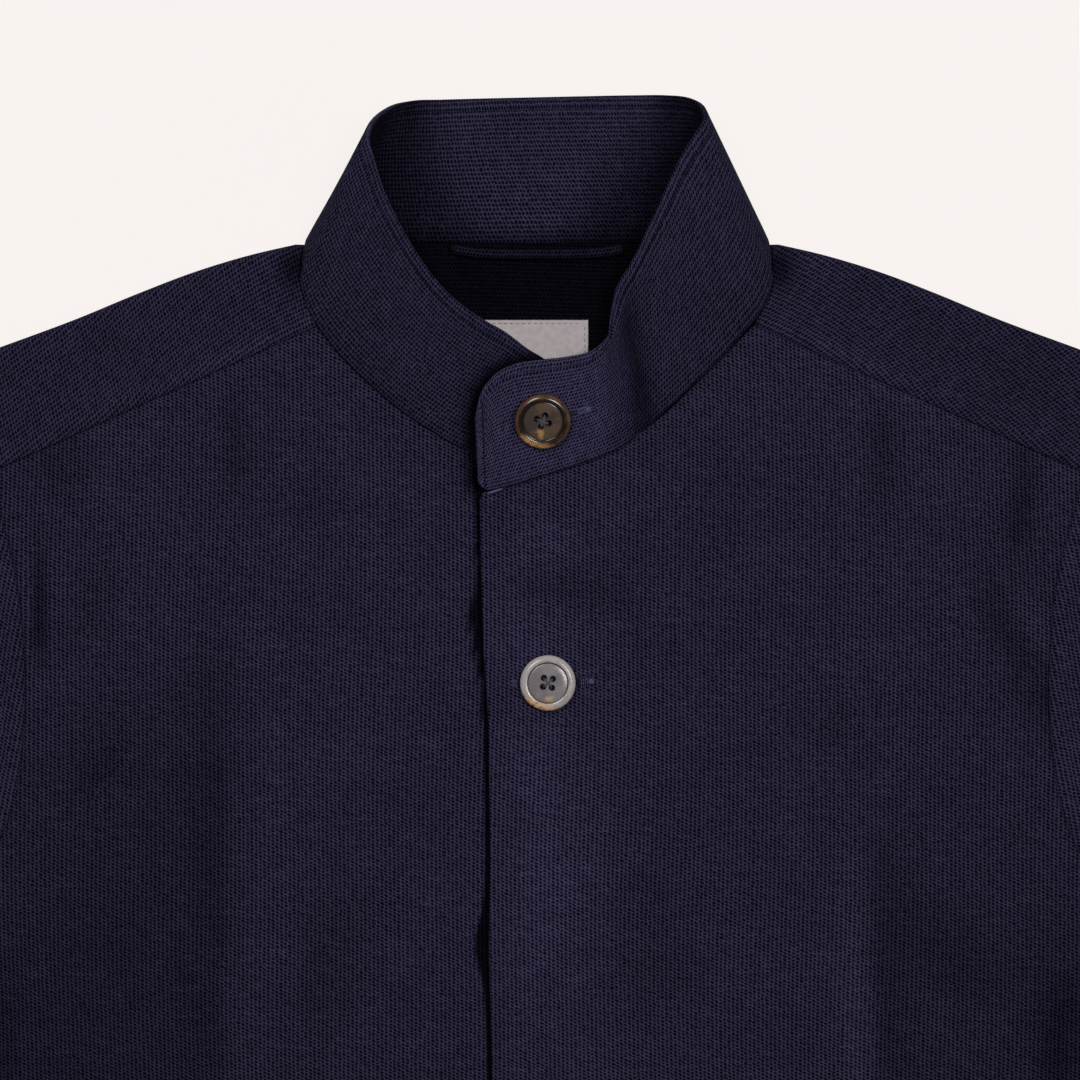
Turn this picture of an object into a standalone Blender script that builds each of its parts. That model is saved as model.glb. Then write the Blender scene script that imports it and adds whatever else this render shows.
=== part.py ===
"""Nehru jacket in a men's medium, buttoned and laid flat on its back.

Lengths below are in millimetres: x to the wearer's left, y towards the collar, z up from the
surface it lies on, with y = 0 where the shoulder meets the neck. The wearer's right front lies
under the left one. Every piece of cloth is an open sheet with Solidify, and every seam is a gap.
"""

from math import cos, pi, radians, sin

import bmesh
import bpy
from mathutils import Matrix, Vector

MM = 0.001
ORIGIN_Y = -332.2  # the middle of the jacket's length, which is the model's origin

# Cloth
CLOTH = 1.6  # wall of the knit panels
COLLAR_WALL = 2.3  # two layers and their interlining
SEAM_GAP = 0.3
SEAM_ANGLE = 5.5  # degrees between a side seam's edge and the middle of the fold

# Heights of the middle of the cloth
BACK_Z = CLOTH / 2
FRONT_Z = 4.0
FOLD_RADIUS = 2.7
FOLD_Z = BACK_Z + FOLD_RADIUS
LIFT = FOLD_Z + FOLD_RADIUS - FRONT_Z  # how far the top layer rises to a fold
LIFT_WIDTH = 22.0
NECK_LIFT = 1.2
NECK_LIFT_WIDTH = 20.0
NECK_LIFTED = 4  # points of the neck edge that rise, all clear of the closing
UNDER_DROP = 0.8  # the right front, under the closing
OVER_RISE = 1.8  # the left front, over it
CLOSING_EDGE = 28.0
CLOSING_BLEND = 30.0

# Outline of the wearer's left half; the other half is its mirror image
SHOULDER = ((88, 0), (107, -4.2), (126, -10), (147, -18), (170, -27.5), (197, -37.5), (226, -48))
UNDERARM = Vector((264.5, -258.0))  # where the side and the sleeve's inner edge would meet
UNDERARM_RADIUS = 12.0
HEM_Y = -720.0
WAIST_Y = -440.0
WAIST_X = 262.0
HEM_X = 270.0
SLEEVE_ANGLE = radians(42.0)  # the underarm seam's angle to the side
UNDERARM_SEAM = 440.0
CUFF_WIDTH = 125.0
SLEEVE_OUTER = ((262, -60), (300, -76.5), (340, -100), (378, -131), (410, -168))
ARC_STEPS = (0.0, 8.0, 30.0, 50.0, 69.0)  # degrees round the underarm from its middle

# Armhole, from the shoulder to the underarm. The first two stretches belong to the yoke.
YOKE_SHARE = 2
ARM_FRONT = ((212, -68), (203, -84), (197, -103), (192, -124), (189.5, -149), (189.5, -177),
             (193.5, -206), (206, -234), (232, -259))
ARM_BACK = ((219.5, -75), (214, -100), (210, -122), (208, -145), (208, -168), (210, -191),
            (216, -214), (228, -237), (247, -260))

# Neck edges of the fronts, from the yoke seam to the front edge
NECK_LEFT = ((80, -29), (68, -41), (56, -53), (42, -66), (23, -77), (3, -84), (-18.5, -90.5))
NECK_RIGHT = ((80, -29), (71, -41), (60, -52), (46, -62.5), (27, -74), (6, -80), (-26, -84))
LEFT_EDGE_X = -20.0
RIGHT_EDGE_X = 26.0
FRONT_ROWS = (-170, -250, -275, -300, -325, -350, -380, -415, -455, -500, -550, -605, -662)

# Yoke
BACK_SEAM_Y = -100.0
BACK_NECK_Y = 2.45
NECK_COLUMNS = (0.0, 30.0, 60.0, 82.0)

# Panel meshes
ACROSS = (0.0, 0.05, 0.12, 0.2, 0.3, 0.42, 0.55, 0.68, 0.79, 0.88, 0.94, 0.98, 1.0)
BACK_ACROSS = (0.0, 0.25, 0.55, 0.85, 1.0)
QUARTER_FOLD = (90.0, 62.0, 35.0, 12.0, SEAM_ANGLE)
HALF_FOLD = (60.0, 30.0, 0.0, -30.0, -60.0)
SIDE_ROWS = (-320, -360, -410, -465, -525, -590, -655, HEM_Y)
CUFF_RINGS = 7

# Broad folds of the top layer: line from (x1, y1) to (x2, y2), its width, and its height
FOLDS = (
    # x1, y1, x2, y2, width, height
    (-113, -60, -112, -150, 16, -0.8),
    (-100, -170, -104, -330, 30, 0.9),
    (127, -60, 126, -150, 18, -0.8),
    (116, -200, 113, -330, 28, 0.9),
    (-152, -182, -185, -215, 16, -0.7),
    (170, -140, 190, -190, 14, -0.8),
    (120, -420, 60, -560, 40, 0.9),
    (-70, -470, -150, -600, 40, 0.9),
    (230, -330, 150, -430, 30, -0.8),
    (-235, -340, -160, -400, 30, -0.8),
)

# Collar: one row for each section, from its hidden right end round the neck to the tab's end.
# "under" and "over" sections rise from that front, and "round" and "back" ones from base_z.
COLLAR = (
    # zone, base_x, base_y, base_z, top_x, top_y, top_z, bulge
    ("under", 9, -77, 0, 9.5, -50, 7.0, 0.0),
    ("under", 5, -79.5, 0, 5, -43.5, 7.2, 0.0),
    ("under", -7, -80, 0, -4, -37.5, 7.6, 0.0),
    ("under", -18, -78, 0, -12, -31.5, 8.6, 0.3),
    ("under", -28, -74.5, 0, -20, -27, 10.0, 0.8),
    ("under", -40, -67.5, 0, -30, -20, 12.5, 1.4),
    ("under", -51, -60, 0, -38.5, -11, 15.5, 1.8),
    ("under", -61, -51.5, 0, -46, 0, 18.5, 2.0),
    ("under", -70, -43, 0, -51.5, 10, 21.0, 2.0),
    ("under", -78, -33.5, 0, -56, 20, 23.0, 1.8),
    ("under", -84, -23.5, 0, -59, 30, 24.0, 1.4),
    ("under", -87, -12, 0, -61.3, 38.5, 23.5, 1.0),
    ("round", -85.8, -5.5, 9.6, -60.7, 42.8, 21.0, 0.6),
    ("round", -85.2, -0.8, 7.1, -58.9, 46.3, 16.5, 0.4),
    ("round", -84.3, 2.0, 4.1, -55.9, 49.5, 11.5, 0.2),
    ("back", -80.5, 2.9, 1.6, -51.7, 52.3, 7.4, 0.0),
    ("back", -72, 2.75, 1.25, -46, 53.8, 4.9, 0.3),
    ("back", -54, 2.75, 1.25, -35, 54.3, 3.9, 0.5),
    ("back", -27, 2.75, 1.25, -18, 54.8, 3.6, 0.6),
    ("back", 0, 2.75, 1.25, 0, 55.2, 3.6, 0.6),
    ("back", 27, 2.75, 1.25, 18, 55.6, 3.6, 0.6),
    ("back", 54, 2.75, 1.25, 36, 55.9, 3.9, 0.5),
    ("back", 72, 2.75, 1.25, 47.5, 55.8, 4.9, 0.3),
    ("back", 80.5, 2.9, 1.6, 54.5, 54.9, 7.4, 0.0),
    ("round", 84.3, 2.0, 4.1, 59.2, 52.3, 11.5, 0.2),
    ("round", 85.2, -0.8, 7.1, 60.9, 48.8, 16.5, 0.4),
    ("round", 85.8, -5.5, 9.6, 60.7, 44.6, 21.0, 0.6),
    ("over", 87, -12, 0, 57.6, 40, 23.5, 1.0),
    ("over", 83.5, -22.5, 0, 52, 31, 23.5, 1.4),
    ("over", 76, -32, 0, 46.5, 19, 22.0, 1.8),
    ("over", 66, -43, 0, 40.5, 6, 19.5, 1.8),
    ("over", 55.5, -53, 0, 34.8, -6, 17.0, 1.5),
    ("over", 46.5, -61.5, 0, 29, -16, 15.0, 0.8),
    ("over", 39, -68.5, 0, 27.1, -25, 12.8, 0.0),
    ("over", 31, -74, 0, 26, -33, 12.2, 0.5),
    ("over", 22, -78, 0, 20.5, -38.5, 12.4, 1.0),
    ("over", 12, -81.5, 0, 11, -41, 12.8, 1.2),
    ("over", 1, -85, 0, 1, -42.2, 12.8, 1.2),
    ("over", -8.5, -88, 0, -8.5, -43.8, 12.6, 1.0),
    ("over", -15, -89.6, 0, -15.5, -47.5, 12.3, 0.7),
    ("over", -19.2, -90, 0, -20.5, -54, 12.0, 0.4),
    ("over", -21.8, -87, 0, -22.8, -64, 11.6, 0.2),
)
COLLAR_ROWS = 4
COLLAR_STEP = (CLOTH + COLLAR_WALL) / 2 + 2 * SEAM_GAP  # from the neck edge up to the collar's

# Trims
LOOP_HALF_WIDTH = 31.0
LOOP_RADIUS = 1.8
LOOP_END_Y = -0.9
LOOP_SAG = 1.9
LABEL = (-25.0, 19.0, -52.0, -27.0)  # x from and to, y from and to
LABEL_WALL = 1.0
BUTTON_RADIUS = 10.25
BUTTON_DISH = 7.4
BUTTON_HEIGHT = 3.4
BUTTON_FLOOR = 2.2
BUTTON_HOLE = 1.1
BUTTON_HOLE_PITCH = 1.65
BUTTONS = (
    # section of the collar or y on the front edge, x, turn in degrees
    (36.9, 0.0, 25.0),
    (-161.0, 4.0, 8.0),
    (-324.0, 4.0, 52.0),
    (-487.0, 4.0, 15.0),
    (-650.0, 4.0, 70.0),
)

COLOURS = {
    "knit": (0.012, 0.011, 0.022),
    "loop": (0.006, 0.006, 0.013),
    "label": (0.72, 0.72, 0.74),
    "horn_brown": (0.035, 0.018, 0.010),
    "horn_grey": (0.075, 0.068, 0.060),
}


def smooth(t):
    t = min(max(t, 0.0), 1.0)
    return t * t * (3 - 2 * t)


def lerp(a, b, t):
    return a + (b - a) * t


def normal_of(tangent):
    """Unit vector a quarter turn to the left of a direction in plan."""
    return Vector((-tangent.y, tangent.x)).normalized()


def material(name, colour, roughness):
    mat = bpy.data.materials.new(name)
    mat.use_nodes = True
    shader = mat.node_tree.nodes["Principled BSDF"]
    shader.inputs["Base Color"].default_value = (*colour, 1.0)
    shader.inputs["Roughness"].default_value = roughness
    mat.diffuse_color = (*colour, 1.0)
    return mat


# --- Outline -------------------------------------------------------------------------------


def side_x(y):
    """The side seam, taken in at the waist."""
    return WAIST_X + (HEM_X - WAIST_X) * ((y - WAIST_Y) / (HEM_Y - WAIST_Y)) ** 2


DOWN_SLEEVE = Vector((sin(SLEEVE_ANGLE), -cos(SLEEVE_ANGLE)))
ACROSS_SLEEVE = Vector((cos(SLEEVE_ANGLE), sin(SLEEVE_ANGLE)))


def underarm_arc(degrees_from_middle):
    """A point of the rounded underarm and its outward direction; minus is the body's side."""
    half = SLEEVE_ANGLE / 2
    bisector = Vector((sin(half), -cos(half)))
    centre = UNDERARM + bisector * (UNDERARM_RADIUS / sin(half))
    outward = Matrix.Rotation(-radians(degrees_from_middle), 2) @ bisector
    return centre - outward * UNDERARM_RADIUS, outward


def side_edge():
    """Points and outward directions down the body's side, from the underarm's middle."""
    points = []
    for step in ARC_STEPS:
        points.append(underarm_arc(-step))
    for y in SIDE_ROWS:
        slope = side_x(y - 1) - side_x(y + 1)
        points.append((Vector((side_x(y), y)), Vector((2.0, slope)).normalized()))
    return points


def sleeve_inner():
    points = []
    for step in ARC_STEPS:
        points.append(underarm_arc(step))
    start = points[-1][0]
    for ring in range(1, CUFF_RINGS + 1):
        run = UNDERARM_SEAM * ring / CUFF_RINGS
        points.append((start + DOWN_SLEEVE * run, -ACROSS_SLEEVE))
    return points


def shoulder_edge():
    """Points and outward directions from the neck to the armhole."""
    line = [Vector(p) for p in SHOULDER]
    beyond = Vector(SLEEVE_OUTER[0])
    points = []
    for k in range(len(line)):
        ahead = line[k + 1] if k + 1 < len(line) else beyond
        points.append((line[k], normal_of(ahead - line[max(k - 1, 0)])))
    return points


def sleeve_outer():
    """Points and outward directions of the sleeve's outer edge, one for each ring."""
    cuff = sleeve_inner()[-1][0] + ACROSS_SLEEVE * CUFF_WIDTH
    rings = len(ARC_STEPS) + CUFF_RINGS
    line = [SHOULDER_LINE[-1][0]] + [Vector(p) for p in SLEEVE_OUTER]
    rest = rings - len(line)
    last = line[-1]
    for k in range(1, rest + 1):
        line.append(last.lerp(cuff, k / rest))
    points = [SHOULDER_LINE[-1]]
    for k in range(1, rings):
        ahead = line[min(k + 1, rings - 1)] - line[k - 1]
        points.append((line[k], normal_of(ahead)))
    return points


SHOULDER_LINE = shoulder_edge()
SIDE = side_edge()
INNER = sleeve_inner()
OUTER = sleeve_outer()
FOLD_LINES = (
    [p for p, _ in SHOULDER_LINE + OUTER[1:]],
    [p for p, _ in INNER],
    [p for p, _ in SIDE],
)


def segment_distance(p, a, b):
    along = b - a
    t = min(max((p - a).dot(along) / along.length_squared, 0.0), 1.0)
    return (p - a - along * t).length


def fold_distance(x, y):
    """How far a point in plan is inside the nearest folded edge."""
    p = Vector((abs(x), y))
    return min(
        segment_distance(p, line[k], line[k + 1])
        for line in FOLD_LINES
        for k in range(len(line) - 1)
    )


def neck_distance(x, y):
    line = [Vector(p) for p in (SHOULDER[0], *NECK_LEFT[:NECK_LIFTED])]
    p = Vector((abs(x), y))
    return min(segment_distance(p, line[k], line[k + 1]) for k in range(len(line) - 1))


def relief(x, y):
    height = 0.0
    p = Vector((x, y))
    for x1, y1, x2, y2, width, rise in FOLDS:
        away = segment_distance(p, Vector((x1, y1)), Vector((x2, y2))) / width
        height += rise * (1 - smooth(away))
    return height


def top_height(x, y):
    """Middle of the top layer's cloth: it rises to each folded edge and to the neck."""
    inside = (fold_distance(x, y) - FOLD_RADIUS) / LIFT_WIDTH
    near_fold = 1 - smooth(inside)
    near_neck = 1 - smooth(neck_distance(x, y) / NECK_LIFT_WIDTH)
    rise = LIFT * near_fold + (relief(x, y) + NECK_LIFT * near_neck) * (1 - near_fold)
    return FRONT_Z + rise


def under_height(x, y):
    """The right front: it dips under the closing."""
    return top_height(x, y) - UNDER_DROP * smooth((x + CLOSING_EDGE + CLOSING_BLEND) / CLOSING_BLEND)


def over_height(x, y):
    """The left front: it rises over the closing."""
    return top_height(x, y) + OVER_RISE * smooth((CLOSING_EDGE + CLOSING_BLEND - x) / CLOSING_BLEND)


def fold_point(edge, degrees_up):
    """A point round a folded edge: 90 is the top layer and -90 the bottom one."""
    point, outward = edge
    a = radians(degrees_up)
    plan = point + outward * (FOLD_RADIUS * (cos(a) - 1))
    return Vector((plan.x, plan.y, FOLD_Z + FOLD_RADIUS * sin(a)))


def fold_start(edge):
    point, outward = edge
    return point - outward * FOLD_RADIUS


# --- Armhole -------------------------------------------------------------------------------


def armhole(points):
    """Plan points from the shoulder's fold to the underarm's, and directions to the sleeve."""
    line = [fold_start(OUTER[0])] + [Vector(p) for p in points] + [fold_start(SIDE[0])]
    towards = []
    for k in range(len(line)):
        step = line[min(k + 1, len(line) - 1)] - line[max(k - 1, 0)]
        towards.append(normal_of(step))
    towards[0] = (towards[0] + shoulder_way()).normalized()
    towards[-1] = (towards[-1] + underarm_way()).normalized()
    return line, towards


def shoulder_way():
    """From the yoke to the sleeve, along the end of the shoulder."""
    return -normal_of(OUTER[0][1])


def underarm_way():
    """From the body to the sleeve, across the middle of the underarm."""
    return normal_of(SIDE[0][1])


FRONT_ARM, FRONT_WAY = armhole(ARM_FRONT)
BACK_ARM, BACK_WAY = armhole(ARM_BACK)


def across_gap(point, way, side):
    """A seam edge: side is 1 on the far side of the gap and -1 on the near one."""
    return point + way * (side * SEAM_GAP / 2)


# --- Sheets --------------------------------------------------------------------------------


def sheet(name, columns, rows, place, mat, wall=CLOTH, keep=None, tube=False):
    """A grid with its points placed by place(i, j), in millimetres, and a wall put on it."""
    bm = bmesh.new()
    bmesh.ops.create_grid(bm, x_segments=columns, y_segments=rows, size=0.5)
    index = {}
    for v in bm.verts:
        index[v] = (round((v.co.x + 0.5) * columns), round((v.co.y + 0.5) * rows))
    if keep:
        gone = []
        for face in bm.faces:
            i = min(index[v][0] for v in face.verts)
            j = min(index[v][1] for v in face.verts)
            if not keep(i, j):
                gone.append(face)
        bmesh.ops.delete(bm, geom=gone, context="FACES")
    for v in bm.verts:
        v.co = place(*index[v]) * MM
        v.co.y -= ORIGIN_Y * MM
    if tube:
        bmesh.ops.remove_doubles(bm, verts=bm.verts, dist=1e-6)
    mesh = bpy.data.meshes.new(name)
    bm.to_mesh(mesh)
    bm.free()
    mesh.materials.append(mat)
    mesh.shade_smooth()
    mesh.set_sharp_from_angle(angle=radians(50))
    ob = bpy.data.objects.new(name, mesh)
    solid = ob.modifiers.new("Wall", "SOLIDIFY")
    solid.thickness = wall * MM
    solid.offset = 0.0
    return ob


def mirrored(point, side):
    return Vector((point.x * side, *point[1:]))


def front(name, side, neck, edge_x, height, mat):
    """side is 1 for the left front and -1 for the right one, whose points are mirrored."""
    arm = FRONT_ARM[YOKE_SHARE:]
    way = FRONT_WAY[YOKE_SHARE:]
    last_arm = len(arm) - 1
    inner = [Vector(p) for p in neck]
    for y in FRONT_ROWS:
        inner.append(Vector((edge_x * side, y)))
    rows = last_arm + len(SIDE) - 1
    inner.append(Vector((edge_x * side, HEM_Y)))
    flat = len(ACROSS) - 1
    along_seam = (arm[0] - inner[0]).normalized()
    clear = -normal_of(along_seam) * (SEAM_GAP / 2)

    def place(i, j):
        j = rows - j
        outer = fold_start(SIDE[max(j - last_arm, 0)])
        if j < last_arm:
            outer = across_gap(arm[j], way[j], -1)
        if j == 0:
            outer = outer + clear
        if i > flat:
            edge = SIDE[j - last_arm] if j > last_arm else SIDE[0]
            point = fold_point(edge, QUARTER_FOLD[i - flat])
            if j <= last_arm:
                point += underarm_way().to_3d() * (-SEAM_GAP / 2)
            return mirrored(point, side)
        if j == last_arm:
            outer = across_gap(outer, underarm_way(), -1)
        near = inner[j] + (clear if j == 0 else Vector((0, 0)))
        plan = near.lerp(outer, ACROSS[i])
        x = plan.x * side
        return Vector((x, plan.y, height(x, plan.y)))

    def keep(i, j):
        return i < flat or j < rows - last_arm

    columns = flat + len(QUARTER_FOLD) - 1
    return sheet(name, columns, rows, place, mat, keep=keep)


def back(mat):
    arm = BACK_ARM[YOKE_SHARE:]
    way = BACK_WAY[YOKE_SHARE:]
    last_arm = len(arm) - 1
    rows = last_arm + len(SIDE) - 1
    flat = len(BACK_ACROSS) - 1
    half = flat + len(QUARTER_FOLD) - 1
    seam_y = BACK_SEAM_Y - SEAM_GAP

    def place(i, j):
        j = rows - j
        side = 1 if i >= half else -1
        i = abs(i - half)
        if j < last_arm:
            outer = across_gap(arm[j], way[j], -1)
            outer.y = min(outer.y, seam_y)
        else:
            outer = fold_start(SIDE[j - last_arm])
            if j == last_arm:
                outer = across_gap(outer, underarm_way(), -1)
        if i > flat:
            point = fold_point(SIDE[max(j - last_arm, 0)], -QUARTER_FOLD[i - flat])
            if j <= last_arm:
                point += underarm_way().to_3d() * (-SEAM_GAP / 2)
            return mirrored(point, side)
        near = Vector((0, lerp(seam_y, HEM_Y, j / rows)))
        plan = near.lerp(outer, BACK_ACROSS[i])
        return Vector((plan.x * side, plan.y, BACK_Z))

    def keep(i, j):
        return abs(i + 0.5 - half) < flat or j < rows - last_arm

    return sheet("back", 2 * half, rows, place, mat, keep=keep)


def yoke(mat):
    """Columns run across from armhole to armhole, rows from the back seam over the shoulder."""
    neck = len(NECK_COLUMNS) - 1
    half = neck + len(SHOULDER_LINE)
    turn = YOKE_SHARE + len(HALF_FOLD) + 1
    rows = turn + YOKE_SHARE
    corner = SHOULDER_LINE[0][0]
    tip = SHOULDER_LINE[-1][0]
    front_neck = (corner - Vector((1.0, 14.0)), Vector(NECK_LEFT[0]))
    seam = (FRONT_ARM[YOKE_SHARE] - front_neck[-1]).normalized()
    clear = normal_of(seam) * (SEAM_GAP / 2)

    def place(i, j):
        side = 1 if i >= half else -1
        i = abs(i - half)
        if i <= neck:
            y = lerp(BACK_SEAM_Y, BACK_NECK_Y, min(j, YOKE_SHARE) / YOKE_SHARE)
            return Vector((NECK_COLUMNS[i] * side, y, BACK_Z))
        edge = SHOULDER_LINE[i - neck - 1]
        t = (edge[0].x - corner.x) / (tip.x - corner.x)
        if YOKE_SHARE <= j <= turn:
            angles = (-90.0, *reversed(HALF_FOLD), 90.0)
            point = fold_point(edge, angles[j - YOKE_SHARE])
            if t == 1:
                point -= shoulder_way().to_3d() * (SEAM_GAP / 2)
            return mirrored(point, side)
        if j < YOKE_SHARE:
            arm = across_gap(BACK_ARM[YOKE_SHARE - j], BACK_WAY[YOKE_SHARE - j], -1)
            low = Vector((lerp(corner.x, arm.x, t), BACK_SEAM_Y))
            plan = low.lerp(fold_start(edge), j / YOKE_SHARE)
            if t == 1 and j > 0:
                plan = arm
            return Vector((plan.x * side, plan.y, BACK_Z))
        k = j - turn
        arm = across_gap(FRONT_ARM[k], FRONT_WAY[k], -1)
        plan = front_neck[k - 1].lerp(arm, t)
        if k == YOKE_SHARE:
            plan = plan + clear
        return Vector((plan.x * side, plan.y, top_height(plan.x * side, plan.y)))

    def keep(i, j):
        return abs(i + 0.5 - half) > neck + 1 or j < YOKE_SHARE

    return sheet("yoke", 2 * half, rows, place, mat, keep=keep)


def sleeve(name, side, mat):
    """Rings of stations from the armhole to the cuff: front, underarm, back and shoulder."""
    stretch = len(FRONT_ARM) - 1
    fold = len(HALF_FOLD) + 1
    stations = 2 * (stretch + fold)
    rings = len(INNER) - 1

    def flat_point(arm, way, k, ring):
        start = fold_start(OUTER[ring])
        end = fold_start(INNER[ring])
        if ring == 0:
            return across_gap(arm[k], way[k], 1)
        share = k / stretch
        bow = arm[k] - arm[0].lerp(arm[-1], share)
        fade = (1 - smooth(ring / (rings - 2))) ** 1.5
        return start.lerp(end, share) + bow * fade

    def place(i, j):
        i = i % stations
        shift = Vector((0, 0, 0))
        if i <= stretch:
            plan = flat_point(FRONT_ARM, FRONT_WAY, i, j)
            point = Vector((plan.x, plan.y, top_height(plan.x * side, plan.y)))
        elif i < stretch + fold:
            point = fold_point(INNER[j], HALF_FOLD[i - stretch - 1])
            shift = underarm_way().to_3d()
        elif i <= 2 * stretch + fold:
            plan = flat_point(BACK_ARM, BACK_WAY, 2 * stretch + fold - i, j)
            point = Vector((plan.x, plan.y, BACK_Z))
        else:
            point = fold_point(OUTER[j], -HALF_FOLD[i - 2 * stretch - fold - 1])
            shift = shoulder_way().to_3d()
        if j == 0:
            point += shift * (SEAM_GAP / 2)
        return mirrored(point, side)

    return sheet(name, stations, rings, place, mat, tube=True)


# --- Collar --------------------------------------------------------------------------------


def collar_point(section, share):
    """A point of the collar's middle: section counts along COLLAR, share from base to top."""
    k = min(int(section), len(COLLAR) - 2)
    t = section - k
    ends = []
    for row in COLLAR[k : k + 2]:
        zone, bx, by, bz, tx, ty, tz, bulge = row
        if zone == "under":
            bz = under_height(bx, by) + COLLAR_STEP
        elif zone == "over":
            bz = over_height(bx, by) + COLLAR_STEP
        point = Vector((bx, by, bz)).lerp(Vector((tx, ty, tz)), share)
        point.z += bulge * 4 * share * (1 - share)
        ends.append(point)
    return ends[0].lerp(ends[1], t)


def collar(mat):
    def place(i, j):
        return collar_point(i, j / COLLAR_ROWS)

    columns = len(COLLAR) - 1
    return sheet("collar", columns, COLLAR_ROWS, place, mat, wall=COLLAR_WALL)


# --- Trims ---------------------------------------------------------------------------------


def hanger_loop(mat):
    """A cord that sags between its two ends at the neck seam, on the inside of the yoke."""
    curve = bpy.data.curves.new("hanger_loop", "CURVE")
    curve.dimensions = "3D"
    curve.bevel_depth = LOOP_RADIUS * MM
    curve.bevel_resolution = 2
    curve.use_fill_caps = True
    spline = curve.splines.new("POLY")
    count = 13
    spline.points.add(count - 1)
    for k in range(count):
        t = 2 * k / (count - 1) - 1
        x = t * LOOP_HALF_WIDTH
        y = LOOP_END_Y - LOOP_SAG * (1 - t**4)
        z = CLOTH + SEAM_GAP + LOOP_RADIUS
        spline.points[k].co = (x * MM, (y - ORIGIN_Y) * MM, z * MM, 1)
    curve.materials.append(mat)
    return bpy.data.objects.new("hanger_loop", curve)


def neck_label(mat):
    x1, x2, y1, y2 = LABEL
    columns, rows = 4, 3

    def place(i, j):
        z = CLOTH + SEAM_GAP + LABEL_WALL / 2
        return Vector((lerp(x1, x2, i / columns), lerp(y1, y2, j / rows), z))

    return sheet("neck_label", columns, rows, place, mat, wall=LABEL_WALL)


def button_mesh(collection):
    """A turned disc with a raised rim and a dished face, and four holes through it."""
    profile = (
        (0, BUTTON_FLOOR),
        (BUTTON_DISH - 1.2, BUTTON_FLOOR),
        (BUTTON_DISH, BUTTON_HEIGHT - 0.3),
        (BUTTON_DISH + 0.9, BUTTON_HEIGHT),
        (BUTTON_RADIUS - 0.8, BUTTON_HEIGHT - 0.35),
        (BUTTON_RADIUS, BUTTON_HEIGHT - 1.3),
        (BUTTON_RADIUS - 0.6, 0.5),
        (BUTTON_RADIUS - 2.4, 0),
        (0, 0),
    )
    mesh = bpy.data.meshes.new("button")
    points = [(r * MM, 0, z * MM) for r, z in profile]
    mesh.from_pydata(points, [(k, k + 1) for k in range(len(points) - 1)], [])
    blank = bpy.data.objects.new("button_blank", mesh)
    collection.objects.link(blank)
    screw = blank.modifiers.new("Turn", "SCREW")
    screw.steps = 20
    screw.render_steps = 20
    screw.use_merge_vertices = True
    screw.merge_threshold = 1e-5
    cutters = []
    for k in range(4):
        a = pi / 4 + k * pi / 2
        reach = BUTTON_HOLE_PITCH * 2**0.5
        bpy.ops.mesh.primitive_cylinder_add(
            vertices=8,
            radius=BUTTON_HOLE * MM,
            depth=3 * BUTTON_HEIGHT * MM,
            location=(reach * cos(a) * MM, reach * sin(a) * MM, 0),
        )
        cutter = bpy.context.object
        cutter.name = f"button_hole_{k + 1}"
        cutter.hide_render = True
        cutter.display_type = "WIRE"
        for owner in cutter.users_collection:
            owner.objects.unlink(cutter)
        collection.objects.link(cutter)
        cutters.append(cutter)
        cut = blank.modifiers.new("Hole", "BOOLEAN")
        cut.object = cutter
    graph = bpy.context.evaluated_depsgraph_get()
    done = bpy.data.meshes.new_from_object(blank.evaluated_get(graph))
    for ob in [blank, *cutters]:
        bpy.data.objects.remove(ob)
    done.name = "button"
    done.shade_smooth()
    done.set_sharp_from_angle(angle=radians(35))
    return done


def collar_frame(section, share):
    """A place on the collar's outer face and the way it faces."""
    here = collar_point(section, share)
    along = collar_point(section + 0.4, share) - collar_point(section - 0.4, share)
    up = collar_point(section, share + 0.1) - collar_point(section, share - 0.1)
    facing = along.cross(up).normalized()
    if facing.z < 0:
        facing.negate()
    return here, facing


def button(number, mesh, mat):
    place, x, turn = BUTTONS[number]
    if number == 0:
        here, facing = collar_frame(place, 0.48)
        rise = COLLAR_WALL / 2 + 3 * SEAM_GAP
    else:
        here = Vector((x, place, over_height(x, place)))
        facing = Vector((0, 0, 1))
        rise = CLOTH / 2 + SEAM_GAP
    here = here + facing * rise
    ob = bpy.data.objects.new(f"button_{number + 1}", mesh.copy())
    ob.data.materials.append(mat)
    tilt = Vector((0, 0, 1)).rotation_difference(facing).to_matrix().to_4x4()
    spin = Matrix.Rotation(radians(turn), 4, "Z")
    origin = Vector((here.x, here.y - ORIGIN_Y, here.z)) * MM
    ob.matrix_world = Matrix.Translation(origin) @ tilt @ spin
    return ob


def main():
    for ob in list(bpy.data.objects):
        bpy.data.objects.remove(ob)
    jacket = bpy.data.collections.new("nehru_jacket")
    cutters = bpy.data.collections.new("cutters")
    bpy.context.scene.collection.children.link(jacket)
    bpy.context.scene.collection.children.link(cutters)

    def cloth(name, slot="knit"):
        return material(name, COLOURS[slot], 0.9)

    pieces = [
        back(cloth("back")),
        yoke(cloth("yoke")),
        front("front_left", 1, NECK_LEFT, LEFT_EDGE_X, over_height, cloth("front_left")),
        front("front_right", -1, NECK_RIGHT, RIGHT_EDGE_X, under_height, cloth("front_right")),
        sleeve("sleeve_left", 1, cloth("sleeve_left")),
        sleeve("sleeve_right", -1, cloth("sleeve_right")),
        collar(cloth("collar")),
        hanger_loop(cloth("hanger_loop", "loop")),
        neck_label(material("neck_label", COLOURS["label"], 0.4)),
    ]
    disc = button_mesh(cutters)
    for number in range(len(BUTTONS)):
        slot = "horn_brown" if number % 2 == 0 else "horn_grey"
        mat = material(f"button_{number + 1}", COLOURS[slot], 0.3)
        pieces.append(button(number, disc, mat))
    bpy.data.meshes.remove(disc)
    for piece in pieces:
        jacket.objects.link(piece)


main()
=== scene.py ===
from math import cos, pi, radians, sin

import bpy
import numpy as np
from mathutils import Matrix, Vector


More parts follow.
